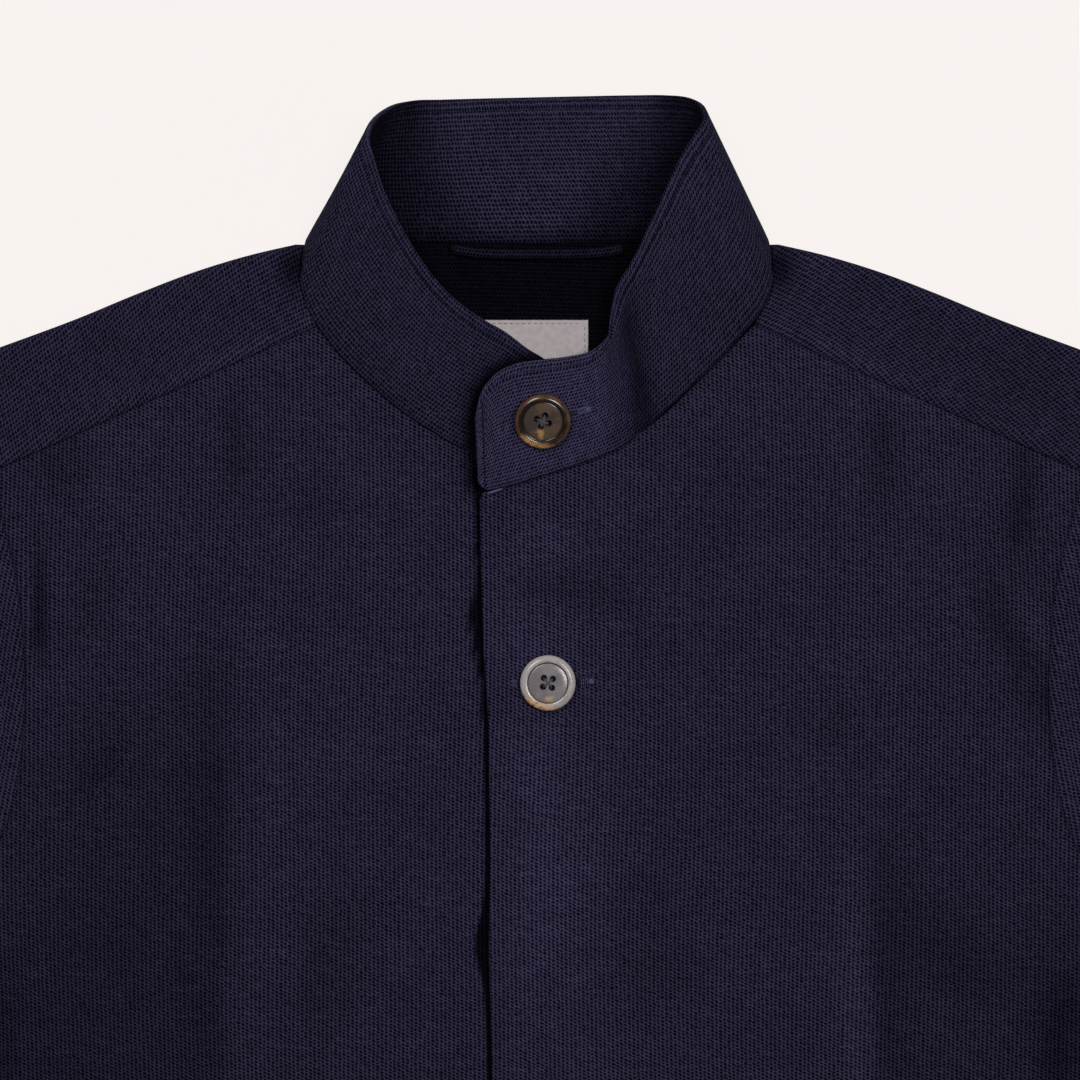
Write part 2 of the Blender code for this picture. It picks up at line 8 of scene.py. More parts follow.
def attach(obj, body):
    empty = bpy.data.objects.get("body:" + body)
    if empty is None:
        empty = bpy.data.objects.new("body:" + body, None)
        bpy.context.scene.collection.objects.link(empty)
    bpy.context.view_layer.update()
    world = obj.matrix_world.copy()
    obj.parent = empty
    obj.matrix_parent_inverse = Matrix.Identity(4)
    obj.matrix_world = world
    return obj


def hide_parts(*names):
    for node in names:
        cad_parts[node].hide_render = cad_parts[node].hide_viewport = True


# Nehru jacket, laid flat. Lengths are in millimetres, as in part.py: x to the wearer's left, y
# towards the collar with 0 at the neck point, z up from the floor.
MM = 0.001
ORIGIN_Y = -332.2

# --- The jacket's form, as part.py has it -----------------------------------------------------
CLOTH = 1.6
COLLAR_WALL = 2.3
SEAM_GAP = -0.3  # seam edges meet here, where part.py leaves a gap
SEAM_ANGLE = 5.5
BACK_Z = CLOTH / 2
FRONT_Z = 4.0
FOLD_RADIUS = 2.7
FOLD_Z = BACK_Z + FOLD_RADIUS
LIFT = FOLD_Z + FOLD_RADIUS - FRONT_Z
LIFT_WIDTH = 22.0
NECK_LIFT = 1.2
NECK_LIFT_WIDTH = 20.0
NECK_LIFTED = 4
UNDER_DROP = 0.8
OVER_RISE = 1.8
CLOSING_EDGE = 28.0
CLOSING_BLEND = 30.0

SHOULDER = ((86, 0.7), (107, -4.2), (126, -10), (147, -18), (170, -27.5), (197, -37.5), (226, -48))
UNDERARM = np.array((264.5, -258.0))
UNDERARM_RADIUS = 12.0
HEM_Y = -720.0
WAIST_Y = -440.0
WAIST_X = 262.0
HEM_X = 270.0
SLEEVE_ANGLE = radians(42.0)
UNDERARM_SEAM = 440.0
CUFF_WIDTH = 125.0
SLEEVE_OUTER = ((262, -60), (300, -76.5), (340, -100), (378, -131), (410, -168))
ARC_STEPS = (0.0, 8.0, 30.0, 50.0, 69.0)
YOKE_SHARE = 2
ARM_FRONT = ((212, -68), (203, -84), (197, -103), (192, -124), (189.5, -149), (189.5, -177),
             (193.5, -206), (206, -234), (232, -259))
ARM_BACK = ((219.5, -75), (214, -100), (210, -122), (208, -145), (208, -168), (210, -191),
            (216, -214), (228, -237), (247, -260))
NECK_LEFT = ((80, -29), (68, -41), (56, -53), (42, -66), (23, -77), (3, -84), (-20.5, -91))
NECK_RIGHT = ((80, -29), (71, -41), (60, -52), (46, -62.5), (27, -74), (6, -80), (-26, -84))
RIGHT_EDGE_X = 26.0
FRONT_ROWS = (-170, -250, -275, -300, -325, -350, -380, -415, -455, -500, -550, -605, -662)
BACK_SEAM_Y = -100.0
BACK_NECK_Y = 2.45
NECK_HALF = 82.0
NECK_LAP = 2.0  # the back neck edge goes this far under the collar
SIDE_ROWS = (-320, -360, -410, -465, -525, -590, -655, HEM_Y)
CUFF_RINGS = 7

COLLAR = (
    # zone, base_x, base_y, base_z, top_x, top_y, top_z, bulge
    ("under", 9, -77, 0, 9.5, -50, 7.0, 0.0),
    ("under", 5, -79.5, 0, 5, -43.5, 7.2, 0.0),
    ("under", -7, -80, 0, -4, -37.5, 7.6, 0.0),
    ("under", -18, -78, 0, -12, -31.5, 8.6, 0.3),
    ("under", -28, -74.5, 0, -20, -27, 10.0, 0.8),
    ("under", -40, -67.5, 0, -30, -20, 12.5, 1.4),
    ("under", -51, -60, 0, -38.5, -11, 15.5, 1.8),
    ("under", -61, -51.5, 0, -46, 0, 18.5, 2.0),
    ("under", -70, -43, 0, -51.5, 10, 21.0, 2.0),
    ("under", -78, -33.5, 0, -56, 20, 23.0, 1.8),
    ("under", -84, -23.5, 0, -59, 30, 24.0, 1.4),
    ("under", -87, -12, 0, -61.3, 38.5, 23.5, 1.0),
    ("round", -85.8, -5.5, 9.6, -60.7, 42.8, 21.0, 0.6),
    ("round", -85.2, -0.8, 7.1, -58.9, 46.3, 16.5, 0.4),
    ("round", -84.3, 2.0, 4.6, -55.9, 49.5, 11.5, 0.2),
    ("back", -80.5, 2.5, 3.3, -51.7, 52.3, 7.4, 0.0),
    ("back", -72, 1.8, 2.85, -46, 53.8, 4.9, 0.3),
    ("back", -54, 1.4, 2.75, -35, 54.3, 3.9, 0.5),
    ("back", -27, 1.3, 2.75, -18, 54.8, 3.6, 0.6),
    ("back", 0, 1.3, 2.75, 0, 55.2, 3.6, 0.6),
    ("back", 27, 1.3, 2.75, 18, 55.6, 3.6, 0.6),
    ("back", 54, 1.4, 2.75, 36, 55.9, 3.9, 0.5),
    ("back", 72, 1.8, 2.85, 47.5, 55.8, 4.9, 0.3),
    ("back", 80.5, 2.5, 3.3, 54.5, 54.9, 7.4, 0.0),
    ("round", 84.3, 2.0, 4.6, 59.2, 52.3, 11.5, 0.2),
    ("round", 85.2, -0.8, 7.1, 60.9, 48.8, 16.5, 0.4),
    ("round", 85.8, -5.5, 9.6, 60.7, 44.6, 21.0, 0.6),
    ("over", 87, -12, 0, 57.6, 40, 23.5, 1.0),
    ("over", 83.5, -22.5, 0, 52, 31, 23.5, 1.4),
    ("over", 76, -32, 0, 46.5, 19, 22.0, 1.8),
    ("over", 66, -43, 0, 40.5, 6, 19.5, 1.8),
    ("over", 55.5, -53, 0, 34.8, -6, 17.0, 1.5),
    ("over", 46.5, -61.5, 0, 29, -16, 15.0, 0.8),
    ("over", 39, -68.5, 0, 27.1, -25, 12.8, 0.0),
    ("over", 31, -74, 0, 26, -33, 12.2, 0.5),
    ("over", 22, -78, 0, 20.5, -38.5, 12.4, 1.0),
    ("over", 12, -81.5, 0, 11, -41, 12.8, 1.2),
    ("over", 1, -85, 0, 1, -42.2, 12.8, 1.2),
    ("over", -8.5, -88, 0, -8.5, -43.8, 12.6, 1.0),
    ("over", -15, -89.6, 0, -15.5, -47.5, 12.3, 0.7),
    ("over", -19.2, -90, 0, -20.5, -54, 12.0, 0.4),
    ("over", -21.8, -87, 0, -22.8, -64, 11.6, 0.2),
)
COLLAR_STEP = 1.75  # from the neck edge up to the collar's, whose lower edge rolls onto it

LOOP_HALF_WIDTH = 31.0
LOOP_RADIUS = 1.8
LOOP_END_Y = -0.9
LOOP_SAG = 1.9
LAYER_GAP = 0.3  # between the cloth and what is sewn onto it
LABEL = (-25.0, 19.0, -52.0, -27.0)
LABEL_WALL = 0.9
STITCH_PITCH = 2.2
STITCH_INSET = 1.3
STITCH_RADIUS = 0.16
BUTTON_RADIUS = 10.25
BUTTON_DISH = 7.4
BUTTON_HEIGHT = 3.4
BUTTON_FLOOR = 2.2
BUTTON_HOLE = 1.1
BUTTON_HOLE_PITCH = 1.65
HOLE_BEVEL = 0.6
TAB_BUTTON_SHARE = 0.48  # of the way up the collar
BUTTON_GAP = 0.35  # from the cloth to the underside
COLLAR_BUTTON_RISE = 0.6
COLLAR_BUTTON_LEAN = np.array((0.0, -0.12, 0.0))
BUTTONS = (
    # section of the collar or y on the front edge, x, turn in degrees
    (36.9, 0.0, 25.0),
    (-161.0, 4.0, -6.0),
    (-324.0, 4.0, 52.0),
    (-487.0, 4.0, 15.0),
    (-650.0, 4.0, 70.0),
)
BUTTONHOLE_COLLAR = (-9.0, 17.0)  # from the button's middle
BUTTONHOLE_FRONT = (-13.2, 15.8)
BUTTONHOLE_PITCH = 0.75
BAR_TACK = ((-18.3, -91.3), (-12.6, -89.4))

# --- What this script adds ---------------------------------------------------------------------
FINE = 2.9  # mesh spacing on the fronts, sleeves and yoke
COARSE = 6.0  # on the back
COLLAR_SPACING = 1.6
YOKE_SPACING = 3.2
YOKE_STEPS = (0, 0.15, 0.45, 0.9, 1.5, 2.4, 3.6, 5.2)  # its first rows, in percent of its depth
CLOSING_COLUMNS = (38, 52, 0.7)  # fine columns of the right front: from, to and spacing
EDGE_STEPS = (0.0, 0.15, 0.45, 0.9, 1.5, 2.4, 3.2, 3.8, 4.4, 5.0, 5.6)  # first lines from an edge
FOLD_STEPS = (72, 54, 36, 20, 12, 8, SEAM_ANGLE + 0.4, SEAM_ANGLE)  # degrees round a side fold
LAYER_FOLD = np.linspace(90, -90, 13)[1:-1]  # degrees from the top layer round to the lower one

# The left front's edge down the closing, and how far it lifts there
EDGE_LINE = ((-91, -21.2), (-116, -20.8), (-149, -19.8), (-175, -18.0), (-223, -17.4),
             (-260, -17.8), (-308, -16.6), (-400, -17.5), (-520, -16.5), (-620, -18.0),
             (-720, -17.5))
EDGE_LIFTS = ((-140, 14, 1.0), (-258, 12, 1.1), (-395, 20, 0.8), (-560, 26, 0.9), (-700, 16, 0.7))
CLOSING_TOP = -84.0  # where the closing comes out from under the tab
EDGE_GROOVE = (0.45, 2.6)  # pressed into the right front by the left one's edge: depth, half width
LIP_RISE = 0.25
LIP_GAIN = 0.8
LIP_WIDTH = 7.0
PLACKET_RISE = 1.5

CREASE_GAIN = 1.5
CREASE_REACH = 1.5  # in half widths
CREASE_TAPER = 0.35  # share of its length over which each end fades
CREASE_SHADE = 0.30  # painted shade: how much darker the cloth is painted for each millimetre down in a crease
RIDGE_SHADE = 0.18  # painted light: how much brighter it is painted on a ridge
DEEPEST = -1.45  # the lowest that creases take the top layer

# Creases of the top layer, each a soft trough or ridge along a line of points
CREASES = (
    # points, half width, height
    (((-113, -48), (-112, -72), (-114, -102)), 6.5, -0.9),
    (((-119, -105), (-118, -190), (-120, -330)), 15, -0.75),
    (((-106, -110), (-104, -180), (-106, -330)), 13, 0.55),
    (((127, -50), (128, -75), (126, -104)), 7, -0.95),
    (((117, -205), (116, -255), (119, -335)), 8, 1.05),
    (((129, -200), (130, -260), (131, -335)), 10, -0.7),
    (((-183, -104), (-184, -130), (-183, -162)), 3.4, -1.9),
    (((-192, -118), (-193, -135), (-193, -152)), 5, 0.8),
    (((-174, -62), (-178, -80), (-181, -98)), 13, -0.6),
    (((-160, -95), (-163, -120), (-168, -150)), 9, -0.45),
    (((181, -66), (180, -92), (174, -122)), 5.5, -1.3),
    (((163, -112), (168, -136), (184, -160), (189, -196)), 8, -1.05),
    (((176, -122), (183, -140), (196, -150)), 7, 0.6),
    (((197, -262), (193, -290), (188, -330)), 8.5, -1.2),
    (((-196, -255), (-199, -285), (-204, -330)), 9, -1.0),
    (((-150, -178), (-160, -192), (-171, -208)), 5.5, -0.55),
    (((-146, -236), (-120, -268), (-112, -300)), 9, 0.45),
    (((-152, -99), (-100, -98), (-40, -100)), 3.2, -0.3),
    (((-190, -190), (-150, -196), (-96, -192)), 4.5, -0.3),
    (((30, -104), (80, -103), (120, -106)), 3.5, -0.28),
    (((-16, -126), (14, -128), (50, -132)), 8, -0.6),
    (((60, -150), (100, -148), (150, -152)), 7, 0.3),
    (((-10, -105), (6, -109), (18, -106)), 9, 0.55),
    (((-9, -172), (-6, -192), (-2, -214)), 11, 0.6),
    (((-8, -225), (6, -240), (14, -262)), 12, 0.35),
    (((86, -212), (100, -225), (108, -242)), 6, 0.45),
    (((106, -160), (112, -182), (130, -200)), 8, -0.45),
    (((132, -230), (150, -262), (178, -282)), 11, -0.5),
    (((-40, -150), (-64, -172), (-82, -210)), 14, 0.4),
    (((-60, -230), (-78, -262), (-84, -310)), 13, -0.45),
    (((36, -215), (44, -252), (40, -300)), 15, -0.35),
    (((-62, -75), (-66, -100), (-60, -128)), 10, 0.4),
    (((60, -78), (66, -100), (64, -126)), 10, -0.35),
    (((-145, -48), (-160, -56), (-178, -60)), 8, 0.5),
    (((110, -42), (124, -47), (140, -55)), 4, 0.45),
    (((-242, -330), (-190, -362), (-120, -372)), 12, -1.0),
    (((240, -340), (196, -380), (140, -396)), 12, -1.1),
    (((-236, -392), (-180, -420), (-132, -462)), 10, 0.9),
    (((60, -372), (76, -430), (62, -500)), 16, 0.9),
    (((-118, -345), (-124, -430), (-112, -520)), 14, -0.9),
    (((122, -350), (118, -450), (126, -560)), 13, 0.9),
    (((236, -430), (205, -462), (150, -470)), 11, -0.9),
    (((-58, -380), (-74, -450), (-66, -540)), 13, -0.7),
    (((40, -560), (66, -620), (58, -690)), 15, -0.8),
    (((-150, -560), (-138, -630), (-146, -706)), 16, 0.9),
    (((-220, -520), (-206, -580), (-214, -650)), 13, -0.9),
    (((196, -560), (210, -620), (204, -700)), 14, 0.9),
    (((96, -600), (110, -650), (104, -712)), 12, -0.7),
    (((-92, -590), (-84, -640), (-90, -712)), 11, -0.7),
)

# Painted shade on patches of the fronts where the cloth hangs away, and painted light, with a depth
# below nothing, where it faces the light: middle, half widths and depth
DRAPE_SHADE_AND_LIGHT = (
    (-165, -230, 42, 62, 0.18),
    (-185, -315, 62, 48, 0.26),
    (-176, -80, 18, 20, 0.10),
    (165, -262, 40, 58, 0.15),
    (198, -290, 20, 42, 0.30),
    (178, -118, 22, 50, 0.12),
    (4, -222, 24, 62, -0.28),
    (2, -272, 16, 22, -0.12),
    (-6, -142, 18, 13, -0.22),
    (2, -110, 18, 9, -0.15),
    (118, -300, 8, 50, -0.12),
)

# Edges of the facings inside the fronts, past which the cloth is thinner and painted shade makes it darker
FACING_SHADE_EDGES = (
    # x, y where it starts to show, length over which it comes in, depth
    (-113.5, -120, 150, 0.24),
    (122.5, -190, 120, 0.15),
)
FACING_STEP = 3.5
FACING_FADE = 60.0

# Creases of the sleeves' top layer, for the wearer's left sleeve and the right one
SLEEVE_CREASES = {
    1: (
        (((214, -92), (222, -140), (238, -190)), 9, -0.9),
        (((250, -78), (262, -130), (268, -190)), 14, 0.9),
        (((300, -300), (345, -292), (388, -262)), 11, -1.2),
        (((312, -332), (360, -318), (402, -300)), 10, 1.1),
        (((340, -362), (380, -352), (424, -322)), 9, -1.0),
        (((300, -130), (330, -190), (352, -250)), 16, 0.8),
        (((400, -440), (452, -430), (496, -396)), 10, -0.9),
        (((430, -470), (470, -470), (520, -440)), 12, 0.9),
        (((470, -330), (520, -380), (560, -430)), 14, -0.9),
        (((500, -520), (540, -530), (590, -500)), 10, -0.8),
        (((250, -232), (282, -236), (310, -222)), 10, -1.1),
    ),
    -1: (
        (((-206, -110), (-212, -150), (-226, -196)), 8, -0.8),
        (((-196, -138), (-197, -152), (-200, -166)), 7, 0.5),
        (((-246, -84), (-262, -140), (-272, -204)), 14, 0.9),
        (((-296, -290), (-338, -268), (-392, -256)), 12, -1.2),
        (((-306, -318), (-352, -306), (-400, -282)), 9, 1.0),
        (((-352, -378), (-396, -352), (-440, -346)), 10, -1.1),
        (((-312, -140), (-336, -200), (-346, -262)), 15, 0.7),
        (((-404, -452), (-446, -418), (-500, -414)), 11, -0.9),
        (((-446, -490), (-488, -470), (-530, -462)), 11, 0.9),
        (((-476, -340), (-512, -392), (-566, -440)), 13, -0.8),
        (((-512, -530), (-548, -512), (-592, -516)), 9, -0.8),
        (((-248, -236), (-278, -226), (-312, -232)), 10, -1.0),
    ),
}

# Creases of the collar: section at the base, section at the top, share from and to, width in
# sections, height
COLLAR_CREASES = (
    (32.9, 31.8, -0.2, 1.0, 0.65, -3.4),
    (34.2, 33.2, 0.0, 1.1, 0.8, 1.0),
    (31.4, 30.4, 0.0, 1.0, 0.9, 0.7),
    (3.6, 3.5, -0.2, 1.1, 0.6, -2.0),
    (5.8, 6.2, 0.0, 0.9, 0.9, 0.6),
    (8.2, 8.8, 0.05, 0.6, 0.9, -0.5),
    (30.0, 30.2, 0.0, 0.55, 0.8, -0.5),
    (11.0, 10.5, 0.1, 0.9, 1.0, 0.4),
    (28.6, 28.4, 0.2, 0.9, 1.0, -0.4),
)
COLLAR_TONE = 0.92  # brightness of the collar's outside
TAB_ROWS = 6  # sections of the collar round the tab's free end
TAB_END = [COLLAR[-1][1:3]] + [row[4:6] for row in COLLAR[: -TAB_ROWS - 1 : -1]]
TAB_GLOW = 0.5  # painted light: the tab's cloth is painted a little brighter
COLLAR_HEIGHT = 51.0
WELT = 4.4  # from the collar's free edge to the groove where its turned edge ends
WELT_GROOVE = (0.6, 0.8)  # depth and half width
TAB_CONTACT = 1.5  # the tab's shade starts this far outside its end

# Dips of the cloth into its seams: depth and half width
YOKE_DIP = (-0.35, 1.8)
ARM_DIP = (-0.55, 2.0)
NECK_DIP = (-0.5, 3.0)
FLAP_DIP = (-0.5, 1.5)
FLAP_ARM_DIP = (-0.5, 2.0)
SLEEVE_DIP = (-0.9, 1.8)
COLLAR_DIP = (0.9, 3.5)
# Bands beside the seams, raised by the seam allowance under them: rise, width and run-out
YOKE_BAND = (0.75, 6.5, 3.0)
SLEEVE_BAND = (0.5, 7.5, 3.5)
# Shade in a seam or under an edge: share of the brightness that it takes, and half width
YOKE_SEAM_SHADE = (0.1, 1.0)
ARM_SEAM_SHADE = (0.2, 1.0)
UNDER_COLLAR_SHADE = (0.17, 2.6)
UNDER_TAB_SHADE = (0.85, 4.0)
UNDER_TAB_COLLAR_SHADE = (0.9, 4.2)
COLLAR_BASE_SHADE = (0.2, 1.8)
COLLAR_FOOT_SHADE = (0.5, 5.0)  # inside the neck
WELT_SHADE = (0.3, 0.8)
TAB_FOLD_SHADE = (0.6, 0.62)
UNDER_CLOSING = 0.9  # shade of the right front where the left one covers it
NECK_SHADE = 0.11  # brightness of the yoke's inside, down in the neck
YOKE_TONE = 0.93
# Painted shade of the hanger loop, which lies down in the neck
LOOP_SHADE = 0.38
# Painted light along the tab's free end: how much, and its half width
TAB_END_GLOW = (0.15, 5.0)

# Knit, in millimetres: one column of loops, one loop, and the shift between columns in loops
WALE = 1.55
COURSE = 1.27
STAGGER = 0.57
SLEEVE_LEAN = radians(11.0)

CAMERA = (0.0011, 0.2238, 1.5)
LENS = 135.0
SENSOR = 36.0

# The room: what the camera sees of it is brighter than the light that it gives
ROOM_COLOUR = (1.0, 0.965, 0.945, 1.0)
ROOM_SEEN = 0.90
ROOM_LIGHT = 0.10
LIT_PLACE = (0.0, 0.2, 0.0)
LIGHTS = (
    # name, place, size, power, colour
    ("key", (-0.5, 0.9, 1.5), 0.6, 13.0, (1.0, 0.985, 0.97)),
    ("side", (0.6, 0.4, 1.55), 0.5, 13.2, (1.0, 0.99, 0.985)),
)
FLOOR_HALF = 6.0

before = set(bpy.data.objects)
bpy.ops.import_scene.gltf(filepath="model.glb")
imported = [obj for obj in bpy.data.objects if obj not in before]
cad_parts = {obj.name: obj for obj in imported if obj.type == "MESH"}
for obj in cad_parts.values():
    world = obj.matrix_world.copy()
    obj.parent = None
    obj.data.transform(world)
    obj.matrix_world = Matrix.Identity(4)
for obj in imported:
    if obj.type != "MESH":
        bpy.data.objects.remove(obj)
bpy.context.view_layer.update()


# --- Sums on arrays of points ------------------------------------------------------------------


def smooth(t):
    """From 0 to 1 without a corner."""
    t = np.clip(t, 0.0, 1.0)
    return t * t * (3 - 2 * t)


def bell(distance, size):
    """A soft rise or dip: size is its height and its half width."""
    height, width = size
    return height * np.exp(-((distance / width) ** 2))


def band(distance, size):
    """A raised band along a line: size is its rise, its width and its run-out."""
    rise, width, run_out = size
    return rise * smooth((width - distance) / run_out)


def lerp(a, b, t):
    return a + (b - a) * t


def unit(v):
    return v / np.maximum(np.linalg.norm(v, axis=-1, keepdims=True), 1e-9)


def turned(v):
    """A quarter turn to the left in plan."""
    return np.stack((-v[..., 1], v[..., 0]), axis=-1)


def curve(points, t):
    """The smooth line through points, at t counted in points."""
    p = np.asarray(points, float)
    t = np.asarray(t, float)
    steps = np.diff(p, axis=0)
    chord = np.maximum(np.linalg.norm(steps, axis=1), 1e-6)[:, None]
    slope = steps / chord
    tangent = np.empty_like(p)
    tangent[0], tangent[-1] = slope[0], slope[-1]
    tangent[1:-1] = (slope[1:] * chord[:-1] + slope[:-1] * chord[1:]) / (chord[1:] + chord[:-1])
    k = np.clip(np.floor(t).astype(int), 0, len(p) - 2)
    u = (t - k)[..., None]
    a, b, length = p[k], p[k + 1], chord[k]
    return (
        (2 * u**3 - 3 * u**2 + 1) * a
        + (u**3 - 2 * u**2 + u) * length * tangent[k]
        + (3 * u**2 - 2 * u**3) * b
        + (u**3 - u**2) * length * tangent[k + 1]
    )


def stations(lines, spacing):
    """Positions counted in points, so that no step on any of the lines is over spacing."""
    out = [0.0]
    for k in range(len(lines[0]) - 1):
        longest = max(np.linalg.norm(np.subtract(line[k + 1], line[k])) for line in lines)
        count = max(int(np.ceil(longest / spacing)), 1)
        out.extend(k + (np.arange(count) + 1) / count)
    return np.array(out)


def edge_refined(t, lines, first=True, last=True):
    """The positions with EDGE_STEPS put in at the ends, in place of the even ones."""
    start = np.linalg.norm(np.subtract(lines[0][1], lines[0][0]))
    end = np.linalg.norm(np.subtract(lines[0][-1], lines[0][-2]))
    steps = np.array(EDGE_STEPS)
    if first:
        t = np.concatenate((steps / start, t[t > (EDGE_STEPS[-1] + 1) / start]))
    if last:
        top = t[-1]
        near = top - steps[::-1] / end
        t = np.concatenate((t[t < top - (EDGE_STEPS[-1] + 1) / end], near))
    return t


def line_distance(p, line):
    """Distance from each point to a line of points, and where on it, from 0 to 1."""
    line = np.asarray(line, float)
    best = np.full(p.shape[:-1], 1e9)
    where = np.zeros(p.shape[:-1])
    lengths = np.linalg.norm(np.diff(line, axis=0), axis=1)
    total = lengths.sum()
    done = 0.0
    for k in range(len(line) - 1):
        along = line[k + 1] - line[k]
        t = np.clip(((p - line[k]) @ along) / max(along @ along, 1e-9), 0, 1)
        d = np.linalg.norm(p - line[k] - t[..., None] * along, axis=-1)
        closer = d < best
        best = np.where(closer, d, best)
        where = np.where(closer, (done + t * lengths[k]) / total, where)
        done += lengths[k]
    return best, where


# --- Outline -----------------------------------------------------------------------------------

DOWN_SLEEVE = np.array((sin(SLEEVE_ANGLE), -cos(SLEEVE_ANGLE)))
ACROSS_SLEEVE = np.array((cos(SLEEVE_ANGLE), sin(SLEEVE_ANGLE)))


def side_x(y):
    return WAIST_X + (HEM_X - WAIST_X) * ((y - WAIST_Y) / (HEM_Y - WAIST_Y)) ** 2


def underarm_arc(degrees):
    """A point of the rounded underarm corner and its way out, by degrees towards the sleeve."""
    half = SLEEVE_ANGLE / 2
    bisector = np.array((sin(half), -cos(half)))
    centre = UNDERARM + bisector * (UNDERARM_RADIUS / sin(half))
    a = half - radians(degrees)
    outward = np.array((sin(a), -cos(a)))
    return centre - outward * UNDERARM_RADIUS, outward


def side_edge():
    points = [underarm_arc(-step) for step in ARC_STEPS]
    for y in SIDE_ROWS:
        slope = side_x(y - 1) - side_x(y + 1)
        points.append((np.array((side_x(y), y)), unit(np.array((2.0, slope)))))
    return points


def sleeve_inner():
    points = [underarm_arc(step) for step in ARC_STEPS]
    start = points[-1][0]
    for ring in range(1, CUFF_RINGS + 1):
        run = UNDERARM_SEAM * ring / CUFF_RINGS
        points.append((start + DOWN_SLEEVE * run, -ACROSS_SLEEVE))
    return points


def shoulder_edge():
    line = [np.array(p, float) for p in SHOULDER] + [np.array(SLEEVE_OUTER[0], float)]
    points = []
    for k in range(len(SHOULDER)):
        points.append((line[k], unit(turned(line[k + 1] - line[max(k - 1, 0)]))))
    return points


def sleeve_outer():
    cuff = INNER[-1][0] + ACROSS_SLEEVE * CUFF_WIDTH
    line = [SHOULDER_LINE[-1][0]] + [np.array(p, float) for p in SLEEVE_OUTER]
    rest = len(INNER) - len(line)
    last = line[-1]
    for k in range(1, rest + 1):
        line.append(lerp(last, cuff, k / rest))
    points = [SHOULDER_LINE[-1]]
    for k in range(1, len(line)):
        ahead = line[min(k + 1, len(line) - 1)] - line[k - 1]
        points.append((line[k], unit(turned(ahead))))
    return points


SHOULDER_LINE = shoulder_edge()
SIDE = side_edge()
INNER = sleeve_inner()
OUTER = sleeve_outer()


def edge_at(edge, t):
    """Points and outward directions of a folded edge, at t counted in its points."""
    line = curve([p for p, _ in edge], t)
    outward = unit(curve([o for _, o in edge], t))
    return line, outward


def fold_lines():
    """The folded edges of the wearer's left half as lines of points, two to each given one."""
    lines = []
    for edge in (SHOULDER_LINE + OUTER[1:], INNER, SIDE):
        count = len(edge) - 1
        lines.append(edge_at(edge, np.linspace(0, count, count * 2 + 1))[0])
    return lines


FOLD_LINES = fold_lines()


def fold_start(edge):
    return edge[0] - edge[1] * FOLD_RADIUS


def fold_ring(line, outward, angle):
    """Points round a folded edge: 90 degrees is the top layer and -90 the bottom one."""
    a = np.radians(angle)
    plan = line + outward * (FOLD_RADIUS * (np.cos(a) - 1))[..., None]
    z = FOLD_Z + FOLD_RADIUS * np.sin(a)
    return np.concatenate((plan, (z + 0 * plan[..., 0])[..., None]), axis=-1)


# --- Height of the top layer ---------------------------------------------------------------------


def creased(p, creases):
    """Height of the creases at points, each crease fading out at its ends."""
    height = np.zeros(p.shape[:-1])
    for line, width, rise in creases:
        line = np.array(line, float)
        reach = CREASE_REACH * width
        near = ((p > line.min(0) - reach) & (p < line.max(0) + reach)).all(-1)
        if not near.any():
            continue
        points = p[near]
        d, along = line_distance(points, curve(line, np.linspace(0, len(line) - 1, 9)))
        taper = smooth(along / CREASE_TAPER) * smooth((1 - along) / CREASE_TAPER)
        height[near] += rise * (1 - smooth(d / reach)) * taper
    return height


def soft_waves(p):
    """Slow unevenness of cloth that lies loosely."""
    x, y = p[..., 0], p[..., 1]
    waves = 0.16 * np.sin(x / 19 + 1.3 * np.sin(y / 41)) * np.cos(y / 27 + 0.6)
    waves += 0.12 * np.sin(x / 11.3 + y / 23.7 + 2.0) * np.sin(y / 15.1 - x / 39)
    waves += 0.22 * np.sin(y / 63 + x / 87 + 0.4) * np.cos(x / 46 - 1.1)
    return waves


def top_height(p, creases=CREASES, sleeve=False):
    """Height of the top layer's middle, which rises to the folds and round the neck."""
    mirrored = np.stack((np.abs(p[..., 0]), p[..., 1]), axis=-1)
    inside = np.min([line_distance(mirrored, line)[0] for line in FOLD_LINES], axis=0)
    near_fold = 1 - smooth((inside - FOLD_RADIUS) / LIFT_WIDTH)
    near_neck = 0
    if not sleeve:
        neck = np.array((SHOULDER[0], *NECK_LEFT[:NECK_LIFTED]), float)
        near_neck = 1 - smooth(line_distance(mirrored, neck)[0] / NECK_LIFT_WIDTH)
    relief = np.maximum(CREASE_GAIN * creased(p, creases) + soft_waves(p), DEEPEST)
    return FRONT_Z + LIFT * near_fold + (relief + NECK_LIFT * near_neck) * (1 - near_fold)


def edge_x(y):
    """The left front's edge down the closing."""
    ys, xs = zip(*EDGE_LINE[::-1])
    return np.interp(y, ys, xs)


def edge_lift(y):
    """How far that edge lifts, as a sum of soft humps."""
    return sum(rise * np.exp(-(((y - middle) / reach) ** 2)) for middle, reach, rise in EDGE_LIFTS)


def under_height(p):
    """Height of the right front, which drops under the left one and has its edge pressed in."""
    x, y = p[..., 0], p[..., 1]
    drop = UNDER_DROP * smooth((x + CLOSING_EDGE + CLOSING_BLEND) / CLOSING_BLEND)
    groove = bell(x - edge_x(y) + 1.0, EDGE_GROOVE) * smooth((CLOSING_TOP - y) / 12)
    return top_height(p) - drop - groove


def over_height(p):
    """Height of the left front, with the lip of its edge and the fuller placket behind it."""
    x, y = p[..., 0], p[..., 1]
    rise = OVER_RISE * smooth((CLOSING_EDGE + CLOSING_BLEND - x) / CLOSING_BLEND)
    inside = x - edge_x(y)
    lip = (LIP_RISE + LIP_GAIN * edge_lift(y)) * np.exp(-np.abs(inside) / LIP_WIDTH)
    placket = PLACKET_RISE * smooth((inside + 3) / 19) * (1 - smooth((inside - 20) / 30))
    placket *= smooth((CLOSING_TOP - y) / 20)
    return top_height(p) + rise + lip + placket


# --- Armhole -------------------------------------------------------------------------------------


def shoulder_way():
    return -turned(OUTER[0][1])


def underarm_way():
    return turned(SIDE[0][1])


